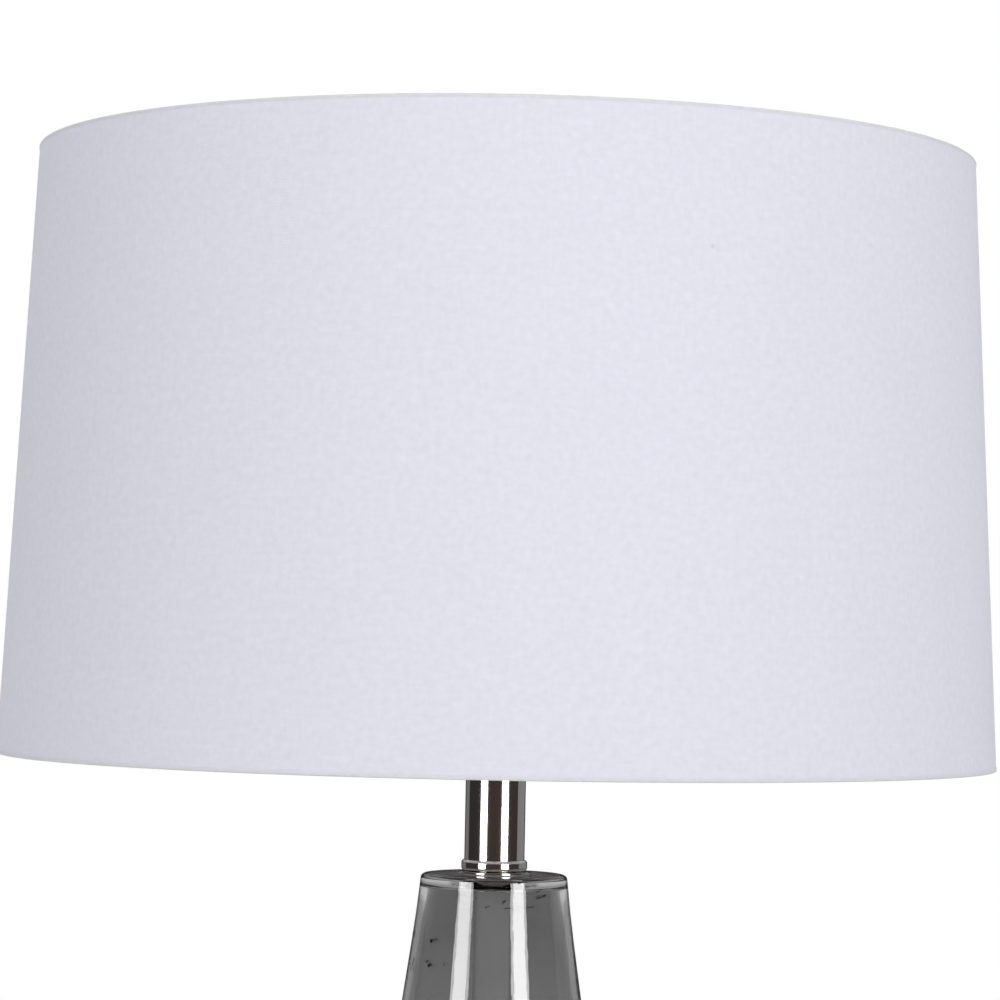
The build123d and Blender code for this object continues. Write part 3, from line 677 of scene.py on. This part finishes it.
# %% Make and run a rule
def new_rule(name, sizes):
    """An empty rule with a named number for each size, and wires for its inputs."""
    tree = bpy.data.node_groups.new(name, "GeometryNodeTree")
    for way in ("INPUT", "OUTPUT"):
        tree.interface.new_socket("Geometry", in_out=way, socket_type="NodeSocketGeometry")
    for size in sizes:
        tree.interface.new_socket(size, in_out="INPUT", socket_type="NodeSocketFloat")
    board = Board(tree)
    return board, board.add("NodeGroupInput")


def end_rule(board, geometry, material):
    """Close a rule with real geometry in its material."""
    real = board.add("GeometryNodeRealizeInstances", None, {"Geometry": geometry})
    painted = board.add("GeometryNodeSetMaterial", None, {"Geometry": real, "Material": material})
    finish = board.tree.nodes.new("NodeGroupOutput")
    board.plug(finish.inputs[0], painted)


def settle(piece):
    """Keep what the modifiers make of a piece as its own plain mesh."""
    depsgraph = bpy.context.evaluated_depsgraph_get()
    result = bpy.data.meshes.new_from_object(
        piece.evaluated_get(depsgraph), preserve_all_data_layers=True, depsgraph=depsgraph
    )
    piece.modifiers.clear()
    piece.data = result
    return result


def run_rule(name, board, sizes, body, start=None):
    """The rule's result as a plain mesh on a body."""
    piece = new_object(name, start or bpy.data.meshes.new(name))
    rule = piece.modifiers.new("rule", "NODES")
    rule.node_group = board.tree
    for item in board.tree.interface.items_tree:
        if item.in_out == "INPUT" and item.name in sizes:
            rule[item.identifier] = float(sizes[item.name])
    result = settle(piece)
    result.name = name
    result.shade_smooth()
    print(name + ":", len(result.polygons), "faces")
    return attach(piece, body)


# %% [markdown]
# ## Seeds in the glass
# Seeds are small bubbles caught in the melt. They lie at random inside the wall, most of them
# small and a few large, and drawn out along the column, because the glass was pulled while
# it was hot. The rule strews points on a cone in the middle of the wall, shifts each one in
# or out, and puts a stretched ball there.

# %% The rule for seeds
seed_sizes = {
    "Density": 1500.0,  # seeds per square metre of wall
    "Small": 0.00013,  # radius of the smallest seed
    "Large": 0.00055,  # radius of the largest
    "Shift": 0.0009,  # how far from the wall's middle a seed may lie
    "Draw": 1.7,  # length of a seed along the column over its width
}
seed_margin = 0.005  # no seeds in this much of the wall above its foot
few_large = 4  # the power that keeps large seeds rare
middle_segments = 96


def seed_rule():
    board, given = new_rule("seeds", seed_sizes)
    points = board.add(
        "GeometryNodeDistributePointsOnFaces",
        {"distribute_method": "RANDOM"},
        {"Mesh": given, "Density": given.out("Density"), "Seed": 7},
    )

    def chance(low, high, seed):
        sockets = {"Min": low, "Max": high, "Seed": seed}
        return board.add("FunctionNodeRandomValue", {"data_type": "FLOAT"}, sockets, "Value")

    small, large, shift = (given.out(size) for size in ("Small", "Large", "Shift"))
    aside = {0: points.out("Normal"), "Scale": chance(shift * -1, shift, 11)}
    outward = board.add("ShaderNodeVectorMath", {"operation": "SCALE"}, aside)
    moved = board.add("GeometryNodeSetPosition", None, {"Geometry": points, "Offset": outward})
    radius = small + (large - small) * chance(0.0, 1.0, 3) ** few_large
    size = board.join(X=radius, Y=radius, Z=radius * given.out("Draw"))
    ball = board.add("GeometryNodeMeshIcoSphere", None, {"Radius": 1.0, "Subdivisions": 2})
    sockets = {"Points": moved, "Instance": ball, "Scale": size}
    seeds = board.add("GeometryNodeInstanceOnPoints", None, sockets)
    # The seeds wear the grey bubble skin, painted shade that darkens them.
    end_rule(board, seeds, seed_finish.material)
    return board


def wall_radius(z):
    """Radius of the wall's middle."""
    return glass_bottom_radius - glass_slope * (z - glass_low.z) - glass_wall / 2


def wall_middle():
    """Open cone in the middle of the glass wall, for the seeds to start from."""
    ends = (glass_low.z + seed_margin, glass_shoulder_z + glass_shoulder_depth / 2)
    vertices, faces = lathe([(wall_radius(z), z) for z in ends], middle_segments)
    return new_mesh("wall_middle", vertices, faces[:middle_segments])


run_rule("glass_seeds", seed_rule(), seed_sizes, "base", wall_middle())

# %% [markdown]
# ### Blisters
# A few bubbles grew large enough to be seen one by one. Most of them lie below the shoulder
# on the front: short flat blisters that the tool drew out sideways. Each is a ball with a
# wandering skin, flattened to fit the wall and turned to lie along it.

# %% Make the blisters
blister_depth = 0.0008  # half of what a blister takes of the wall
skin_shift = 0.00085  # a blister shifted by this breaks the outer skin
blisters = [  # across, height, half length, half height, shift outwards
    (0.0175, 0.3500, 0.0014, 0.0005),
    (0.0186, 0.3480, 0.0024, 0.0008),
    (0.0041, 0.3461, 0.0007, 0.0007, skin_shift),
    (-0.0025, 0.3440, 0.0008, 0.0005),
    (0.0062, 0.3437, 0.0019, 0.0006, skin_shift),
    (0.0112, 0.3438, 0.0042, 0.0009, skin_shift),
    (-0.0236, 0.3293, 0.0015, 0.0008),
    (-0.0221, 0.3300, 0.0006, 0.0004),
    (-0.0255, 0.3209, 0.0011, 0.0005),
    (-0.0243, 0.3196, 0.0017, 0.0007),
    (-0.0189, 0.3203, 0.0005, 0.0004),
    (-0.0312, 0.3306, 0.0010, 0.0013, skin_shift),
    (-0.0320, 0.3198, 0.0008, 0.0014, skin_shift),
]


def blister_mesh(across, height, half_length, half_height, shift=0.0, segments=20, rows=12):
    """Skin of one blister, wandering by its own phase."""
    radius = wall_radius(height)
    turn = math.asin(across / radius)
    outward = Vector((math.sin(turn), -math.cos(turn), 0))
    along = Vector((math.cos(turn), math.sin(turn), 0))
    middle = outward * (radius + shift) + Vector((0, 0, height))
    turns = [math.pi * row / rows for row in range(rows + 1)]
    ball, faces = lathe([(math.sin(turn), -math.cos(turn)) for turn in turns], segments)
    vertices = []
    for x, y, z in ball:
        wander = 1 + 0.22 * math.sin(3 * x + 900 * across) + 0.15 * math.sin(5 * z + 700 * height)
        vertices.append(
            middle
            + along * (x * half_length * wander)
            + outward * (y * blister_depth)
            + Vector((0, 0, (z + 0.35 * math.sin(2.5 * x)) * half_height * wander))
        )
    return vertices, faces


blister_vertices = []
blister_faces = []
for blister in blisters:
    vertices, faces = blister_mesh(*blister)
    first = len(blister_vertices)
    blister_vertices += vertices
    blister_faces += [[first + corner for corner in face] for face in faces]
blister_skins = add_piece("glass_blisters", blister_vertices, blister_faces, "base", "smoke_glass")
# The blisters take the same grey skin, painted shade that darkens them.
blister_skins.data.materials[0] = seed_finish.material
print("blisters:", len(blisters), "with", len(blister_faces), "faces")

# %% [markdown]
# ## Screw threads
# The bulb's cap is rolled sheet with wide round ridges, and the harp's stud carries a fine
# sharp thread. Both are a ridge that follows a helix on a core. The rule draws the helix
# with a Spiral node and sweeps a small ring of a few corners along it. The core comes in as
# the rule's own geometry and leaves joined to its ridge.

# %% The rule for a thread
turn_points = 48  # of the helix
ring_corners = 8
inch = 0.0254
thread_sizes = ("Radius", "Ridge", "Pitch", "Turns", "Low")


def thread_rule(name, slot):
    board, given = new_rule(name, thread_sizes)
    middle = given.out("Radius") - given.out("Ridge")
    helix = board.add("GeometryNodeCurveSpiral", None, {
        "Resolution": turn_points,
        "Rotations": given.out("Turns"),
        "Start Radius": middle,
        "End Radius": middle,
        "Height": given.out("Pitch") * given.out("Turns"),
    })
    lift = board.join(Z=given.out("Low"))
    helix = board.add("GeometryNodeSetPosition", None, {"Geometry": helix, "Offset": lift})
    circle = {"Resolution": ring_corners, "Radius": given.out("Ridge")}
    ring = board.add("GeometryNodeCurvePrimitiveCircle", None, circle)
    sweep = {"Curve": helix, "Profile Curve": ring, "Fill Caps": True}
    ridge = board.add("GeometryNodeCurveToMesh", None, sweep)
    joined = board.add("GeometryNodeJoinGeometry", None, {"Geometry": ridge})
    board.plug(joined.socket.node.inputs["Geometry"], given)
    end_rule(board, joined, finishes[slot].material)
    return board


def make_screw(name, body, slot, corners, segments, *sizes):
    """A core with a thread on it. The sizes are the thread's, in order."""
    core = new_mesh("core", *lathe(rounded(corners), segments))
    sizes = dict(zip(thread_sizes, sizes))
    print("turns of the next thread:", round(sizes["Turns"], 1))
    return run_rule(name, thread_rule(name, slot), sizes, body, core)


# %% [markdown]
# ### The bulb's cap
# The cap is a thin shell: a cone down to the black insulator, about three turns of rolled
# thread and a plain collar round the glass. Its outside stays on the solid's radius.

# %% Make the bulb's cap
cap_low, cap_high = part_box("bulb_cap")
cap_radius = cap_high.x
cap_wall = 0.0004
cap_cone_height = 0.003
cap_collar_height = 0.0055
cap_ridge = 0.0011
cap_core_radius = cap_radius - 0.0008
cap_pitch = inch / 7
cap_segments = 96
insulator_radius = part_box("bulb_insulator")[1].x

cone_z = cap_low.z + cap_cone_height
collar_z = cap_high.z - cap_collar_height
cap_corners = [
    (0, cap_low.z),
    (insulator_radius, cap_low.z),
    (cap_core_radius, cone_z, 0.0008),
    (cap_core_radius, collar_z, 0.0005),
    (cap_radius, collar_z + cap_wall, 0.0003),
    (cap_radius, cap_high.z),
    (cap_radius - cap_wall, cap_high.z),
    (cap_radius - cap_wall, collar_z + 2 * cap_wall),
    (cap_core_radius - cap_wall, collar_z),
    (cap_core_radius - cap_wall, cone_z + cap_wall),
    (insulator_radius, cap_low.z + cap_wall),
    (0, cap_low.z + cap_wall),
]
cap_turns = (collar_z - cone_z - 2 * cap_ridge) / cap_pitch
cap = make_screw(
    "bulb_screw_cap", "bulb", "aluminium", cap_corners, cap_segments,
    cap_radius, cap_ridge, cap_pitch, cap_turns, cone_z + cap_ridge,
)
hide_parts("bulb_cap")

# %% [markdown]
# ### The stud under the finial
# It shows when the finial is unscrewed: a brass rod with 27 threads to the inch.

# %% Make the stud
stud_low, stud_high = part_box("harp_stud")
stud_radius = stud_high.x
stud_pitch = inch / 27
stud_segments = 48
stud_ridge = 0.00032
stud_core_radius = stud_radius - 0.0004
stud_tip = 0.0005
stud_corners = [
    (0, stud_low.z),
    (stud_core_radius, stud_low.z),
    (stud_core_radius, stud_high.z - stud_tip),
    (stud_core_radius - stud_tip, stud_high.z),
    (0, stud_high.z),
]
stud_turns = (stud_high.z - stud_low.z - 2 * stud_tip) / stud_pitch
stud = make_screw(
    "threaded_stud", "harp", "brass", stud_corners, stud_segments,
    stud_radius, stud_ridge, stud_pitch, stud_turns, stud_low.z + stud_tip,
)
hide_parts("harp_stud")

# %% [markdown]
# ## The cloth on the shade
# The cloth is one piece, cut as a sector of a ring and rolled round the lining, with its end
# lapped over its start at the back. The rule bends a flat grid round the cone, lifts the lap
# by one thickness, and stores where each point lay on the flat cloth as a UV map in metres,
# which the weave reads.

# %% The rule for a lapped drum
cloth_thickness = 0.0005
lap_width = 0.012
lap_lift = 0.00055
shade_height = shade_high_z - shade_low_z
shade_taper = 0.0117
cloth_low, cloth_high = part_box("shade_fabric")
cloth_height = cloth_high.z - cloth_low.z
lower_radius = cloth_high.x
upper_radius = lower_radius - shade_taper * cloth_height / shade_height
middle_radius = (lower_radius + upper_radius) / 2
lap_angle = lap_width / middle_radius
back_angle = math.radians(90)
cloth_columns, cloth_rows = 481, 49
drum_sizes = {
    "Lower radius": lower_radius,
    "Upper radius": upper_radius,
    "Low": cloth_low.z,
    "Height": cloth_height,
    "Start": back_angle,
    "Lap": lap_angle,
    "Lift": lap_lift,
}
sharp_angle = math.radians(40)


def drum_rule(slot):
    board, given = new_rule("lapped drum", drum_sizes)
    low_radius, high_radius, low, height, start, lap, lift = map(given.out, drum_sizes)
    grid = board.add("GeometryNodeMeshGrid", None, {
        "Size X": 1.0, "Size Y": 1.0, "Vertices X": cloth_columns, "Vertices Y": cloth_rows
    })
    across = board.split(grid.out("UV Map"))
    rise = across.out("Y")
    whole = lap + 2 * math.pi
    angle = across * whole + start
    lapped = board.smooth_rise(across * whole, lap * -0.5 + 2 * math.pi, 2 * math.pi)
    radius = low_radius + (high_radius - low_radius) * rise + lapped * lift
    x, y = radius * angle.math("COSINE"), radius * angle.math("SINE")
    place = board.join(X=x, Y=y, Z=low + height * rise)
    bent = board.add("GeometryNodeSetPosition", None, {"Geometry": grid, "Position": place})
    mean_radius = (high_radius + low_radius) * 0.5
    flat = board.join(X=across * whole * mean_radius, Y=height * rise)
    mapped = board.add(
        "GeometryNodeStoreNamedAttribute",
        {"data_type": "FLOAT2", "domain": "CORNER"},
        {"Geometry": bent, "Name": "UVMap", "Value": flat},
    )
    end_rule(board, mapped, finishes[slot].material)
    return board


def thicken(piece, thickness, offset):
    """Give a sheet its thickness, for good, with a crisp cut edge."""
    wall = piece.modifiers.new("thickness", "SOLIDIFY")
    wall.thickness = thickness
    wall.offset = offset
    settle(piece).set_sharp_from_angle(angle=sharp_angle)


cloth = run_rule("shade_cloth", drum_rule("shade_linen"), drum_sizes, "shade")
thicken(cloth, cloth_thickness, -1)
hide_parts("shade_fabric")

# %% [markdown]
# A cone's cloth is cut flat as a sector of a ring, whose area is the cone's own.

# %% [markdown]
# ## The hems
# A strip of the same cloth is folded over each rim: a narrow edge outside, a round fold, and
# a longer leg inside that wraps the wire ring. It is a sheet along a short path, carried
# round the rim. Over the lap it rises with the cloth below it. The upper hem is snipped
# where each spider arm comes through. A hem is hand pressed, so its edge wanders a little.

# Its colour is the cloth's made darker and greyer, as painted shade along the rims.
# %% Make the hems
hem_thickness = 0.00025
hem_outer_leg = 0.0016
hem_fold = 0.0007
hem_lift = 0.00014  # from the cloth's face to the middle of the hem
hem_press = 0.00018  # the outer leg's end is pressed down by this much
hem_wander = 0.00007
hem_segments = 720
hem_fold_steps = 6
free_rows = 3  # points of the path that wander
snipped_rows = 2  # strips of faces at the path's end that the snips open
spider_angles = [math.radians(angle) for angle in (90, 210, 330)]
snip_half_angle = math.radians(0.6)


def shade_radius(z):
    """Outer radius of the cloth at a height."""
    return lower_radius - shade_taper * (z - cloth_low.z) / shade_height


def hem_path(node, edge_z, into):
    """Middle of the hem's cloth from its outer leg over the rim to its inner leg."""
    low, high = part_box(node)
    inner_z = high.z if into > 0 else low.z
    outer_radius = shade_radius(edge_z) + hem_lift
    fold_z = edge_z + into * hem_thickness / 2
    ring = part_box("top_ring" if into < 0 else "bottom_ring")
    inner_radius = ring[1].x - (ring[1].z - ring[0].z) - hem_lift
    fold_radius = outer_radius - hem_fold
    quarter = [math.pi / 2 * step / hem_fold_steps for step in range(hem_fold_steps + 1)]
    corners = [(math.sin(turn), math.cos(turn)) for turn in quarter]
    fold = into * hem_fold
    return [
        (outer_radius - hem_press, edge_z + into * hem_outer_leg),
        (outer_radius - hem_press / 2, edge_z + into * hem_outer_leg / 2),
        *((fold_radius + hem_fold * c, fold_z + fold * (1 - s)) for s, c in corners),
        *((inner_radius + hem_fold * (1 - s), fold_z + fold * (1 - c)) for s, c in corners),
        (inner_radius, (fold_z + inner_z) / 2),
        (inner_radius, inner_z),
    ]


def over_lap(angle):
    """How far the cloth below has risen at this angle."""
    past = (angle - back_angle) % (2 * math.pi)
    if past > math.pi:
        past -= 2 * math.pi
    rise = min(1.0, max(0.0, past / lap_angle * 2 + 1))
    fall = min(1.0, max(0.0, (lap_angle * 1.5 - past) / lap_angle * 2))
    return lap_lift * rise * fall


def at_an_arm(angle):
    """Whether a spider arm comes through at this angle."""
    aside = [(angle - arm + math.pi) % (2 * math.pi) - math.pi for arm in spider_angles]
    return min(map(abs, aside)) < snip_half_angle


def make_hem(name, node, edge_z, into):
    path = hem_path(node, edge_z, into)
    lengths = [0.0]
    for before, after in zip(path, path[1:]):
        lengths.append(lengths[-1] + math.dist(before, after))
    vertices = []
    for row, (radius, z) in enumerate(path):
        outside = 1.0 if radius > shade_radius(z) - cloth_thickness else 0.0
        for index in range(hem_segments):
            angle = 2 * math.pi * index / hem_segments
            wander = hem_wander * math.sin(23 * angle + row / 3) * math.sin(5 * angle + into)
            wide = radius + outside * over_lap(angle)
            edge = wander if row < free_rows else 0.0
            vertices.append((wide * math.cos(angle), wide * math.sin(angle), z + edge))
    faces = []
    places = []
    first_snipped = len(path) - 1 - snipped_rows if into < 0 else len(path)
    for row in range(len(path) - 1):
        for index in range(hem_segments):
            after = (index + 1) % hem_segments
            middle = 2 * math.pi * (index + 0.5) / hem_segments
            if row >= first_snipped and at_an_arm(middle):
                continue
            corners = [(row, index), (row, after), (row + 1, after), (row + 1, index)]
            if into < 0:
                corners.reverse()
            faces.append([line * hem_segments + column for line, column in corners])
            for line, column in corners:
                turn = index + 1 if column == after else index
                places.append((turn / hem_segments * 2 * math.pi * middle_radius, lengths[line]))
    piece = add_piece(name, vertices, faces, "shade", "hem_linen")
    layer = piece.data.uv_layers.new(name="UVMap")
    for loop, place in zip(layer.data, places):
        loop.uv = place
    thicken(piece, hem_thickness, 0)
    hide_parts(node)
    print(name + ":", len(piece.data.polygons), "faces")


make_hem("lower_hem", "bottom_hem", shade_low_z, 1)
make_hem("upper_hem", "top_hem", shade_high_z, -1)

# %% [markdown]
# ## The room that the metal and the glass see
# In the photograph two tall white stripes stand on the neck and on the glass, with dark
# between them: two softboxes in a dark studio. Tall cards make them here. Only glossy rays
# see these cards, so they light nothing else. A glass surface reflects about a twentieth, so
# its white stripe needs a very bright card. Dark cards and grey ones fill the rest of the
# circle, and the grey ones stand where the neck's edges turn light.

# %% Cards
card_distance = 1.25
card_low = -0.1
card_high = 1.5
card_step = 4  # degrees of the circle in one flat face
softbox_edge = 3.5  # degrees
softbox_edge_share = 0.5
white = (1, 1, 1)
warm_dark = (1.0, 0.76, 0.69)
cool_dark = (1.0, 0.86, 0.88)
warm_grey = (1.0, 0.93, 0.9)
softboxes = {  # from and to in degrees, strength
    "softbox_left": (-56, -31, 15.5),
    "softbox_right": (26, 50, 19.0),
}
cards = {  # from and to in degrees, colour, strength
    "dark_front": (-31, 26, warm_dark, 0.066),
    "dark_left": (-118, -56, cool_dark, 0.045),
    "grey_left": (-150, -118, warm_grey, 0.25),
    "dark_right": (50, 96, warm_dark, 0.06),
    "grey_right": (96, 150, white, 0.32),
    "dark_back": (150, 210, cool_dark, 0.045),
}


def emission(name, colour, strength):
    """A plain glowing material for a card."""
    material = new_material(name)
    board = Board(material.node_tree)
    board.tree.nodes.remove(board.tree.nodes["Principled BSDF"])
    glow = board.add("ShaderNodeEmission", None, {"Color": opaque(colour), "Strength": strength})
    board.plug(board.tree.nodes["Material Output"].inputs["Surface"], glow)
    return material


def show_only_to(piece, *rays):
    for kind in ("camera", "diffuse", "glossy", "transmission", "volume_scatter", "shadow"):
        setattr(piece, "visible_" + kind, kind in rays)


def card(name, from_degrees, to_degrees, colour, strength, ray="glossy"):
    """Curved upright card round the lamp; 0 degrees is in front of it, 90 to its right."""
    count = max(2, round(abs(to_degrees - from_degrees) / card_step))
    vertices = []
    for index in range(count + 1):
        angle = math.radians(from_degrees + (to_degrees - from_degrees) * index / count)
        x, y = card_distance * math.sin(angle), -card_distance * math.cos(angle)
        vertices += [(x, y, card_low), (x, y, card_high)]
    faces = [(2 * i, 2 * i + 2, 2 * i + 3, 2 * i + 1) for i in range(count)]
    mesh = new_mesh(name, vertices, faces)
    mesh.materials.append(emission(name, colour, strength))
    piece = new_object(name, mesh)
    show_only_to(piece, ray)
    return piece


def softbox(name, from_degrees, to_degrees, strength):
    """A softbox is dimmer towards its two edges."""
    edge_from, edge_to = from_degrees + softbox_edge, to_degrees - softbox_edge
    card(name + "_a", from_degrees, edge_from, white, strength * softbox_edge_share)
    card(name, edge_from, edge_to, white, strength)
    card(name + "_b", edge_to, to_degrees, white, strength * softbox_edge_share)


for name, numbers in softboxes.items():
    softbox(name, *numbers)
for name, numbers in cards.items():
    card(name, *numbers)
print("softboxes:", len(softboxes), "and other cards:", len(cards))

# %% [markdown]
# Through the glass one sees what stands behind the lamp, and what the sleeve in the column
# reflects. In the photograph that is a grey that grows lighter downwards. Two cards that
# only rays through glass can see do that: a dimmer one behind and a brighter one in front.
# The one behind is bright again higher up, where the thick top of the column looks: that
# gives the light line under the column's edge.

# %% Graded cards behind and in front of the glass
graded_cards = {  # from and to in degrees, strength, stops of (height, share)
    "behind": (110, 250, 1.25, ((0.17, 0.69), (0.25, 0.48), (0.40, 0.48), (0.46, 1.0))),
    "before": (-110, 110, 1.7, ((0.17, 1.0), (0.25, 0.5))),
}
for name, (from_degrees, to_degrees, strength, stops) in graded_cards.items():
    piece = card(name, from_degrees, to_degrees, white, strength, "transmission")
    board = Board(piece.data.materials[0].node_tree)
    place = board.add("ShaderNodeTexCoord", output="Object")
    share = board.add("ShaderNodeValToRGB", {"stops": stops}, {"Fac": board.split(place).out("Z")})
    board.plug(board.tree.nodes["Emission"].inputs["Color"], share)
print("graded cards:", ", ".join(graded_cards))

# %% [markdown]
# ## The lamps
# The white cloth is lit evenly, a little more from the front right, and its left edge falls
# off. Two large area lights and an even sky do that. The sky is white to the camera and to
# what reflects or lets through, and dimmer where it lights the lamp, so that a colour comes
# out about as it is written.

# %% Sky and lights
sky_light = 0.58
shade_middle = Vector((0, 0, (shade_low_z + shade_high_z) / 2))
lamps = {  # place, width and height, power in watts
    "key": ((0.9, -2.0, 1.3), (1.4, 1.4), 18.0),
    "fill": ((-1.6, -1.6, 0.9), (1.2, 1.6), 5.3),
}


def sees_white(board):
    """1 for rays that show the background, to the camera or in metal and glass, else 0."""
    ray = board.add("ShaderNodeLightPath", None, None, "Is Camera Ray")
    seen = ray.math("MAXIMUM", ray.out("Is Glossy Ray"))
    return seen.math("MAXIMUM", ray.out("Is Transmission Ray"))


def light_sky():
    world = bpy.data.worlds.new("sky")
    world.use_nodes = True
    bpy.context.scene.world = world
    board = Board(world.node_tree)
    background = board.tree.nodes["Background"]
    background.inputs["Color"].default_value = opaque(white)
    board.plug(background.inputs["Strength"], sees_white(board) * (1 - sky_light) + sky_light)


def area_light(name, place, size, power):
    """A large soft light on the shade that puts no spot on metal or glass."""
    data = bpy.data.lights.new(name, "AREA")
    data.shape = "RECTANGLE"
    data.size, data.size_y = size
    data.energy = power
    light = new_object(name, data)
    light.location = place
    aim = shade_middle - Vector(place)
    light.rotation_euler = aim.to_track_quat("-Z", "Y").to_euler()
    show_only_to(light, "diffuse", "volume_scatter", "shadow")


light_sky()
for name, numbers in lamps.items():
    area_light(name, *numbers)
print("lamps:", ", ".join(lamps), "and a sky of", sky_light)

# %% [markdown]
# ## The floor
# The lamp stands on a pale floor. Near the lamp it takes the shadow; further out it fades
# into the white of the sky, so that no edge of it shows. Only camera, glossy and
# transmission rays see the fade as light, so it adds nothing to the lamp.

# %% Floor
floor_radius = 2.4
floor_sides = 96
fade_from = 0.45
fade_to = 1.5
floor_colour = (0.86, 0.86, 0.86)
floor_grain = 60.0  # specks per metre


def floor_material():
    material = new_material("floor")
    board = Board(material.node_tree)
    shader = board.tree.nodes["Principled BSDF"]
    shader.inputs["Specular IOR Level"].default_value = 0.0
    shader.inputs["Roughness"].default_value = 0.9
    place = board.add("ShaderNodeTexCoord", output="Object")
    specks = {"Vector": place, "Scale": floor_grain, "Detail": 3.0}
    grain = board.add("ShaderNodeTexNoise", None, specks)
    tones = {"Factor": grain, "A": opaque(shade_of(floor_colour, 0.99)), "B": opaque(floor_colour)}
    tone = board.add("ShaderNodeMix", {"data_type": "RGBA"}, tones, "Result")
    board.plug(shader.inputs["Base Color"], tone)
    distance = board.add("ShaderNodeVectorMath", {"operation": "LENGTH"}, {0: place}, "Value")
    far = board.smooth_rise(distance, fade_from, fade_to)
    glow = board.add("ShaderNodeEmission", None, {"Color": opaque(white), "Strength": 1.0})
    plain = Wire(board, shader.outputs["BSDF"])
    shaders = {"Fac": far * sees_white(board), 1: plain, 2: glow}
    mixed = board.add("ShaderNodeMixShader", None, shaders)
    board.plug(board.tree.nodes["Material Output"].inputs["Surface"], mixed)
    return material


def make_floor():
    turns = [2 * math.pi * side / floor_sides for side in range(floor_sides)]
    rim = [(floor_radius * math.cos(turn), floor_radius * math.sin(turn), 0) for turn in turns]
    mesh = new_mesh("floor", rim, [list(range(floor_sides))])
    mesh.materials.append(floor_material())
    floor = new_object("floor", mesh)


make_floor()

# %% [markdown]
# ## The picture's settings
# The Standard view keeps a colour as it is written.

# %% Finish
bpy.context.scene.view_settings.view_transform = "Standard"
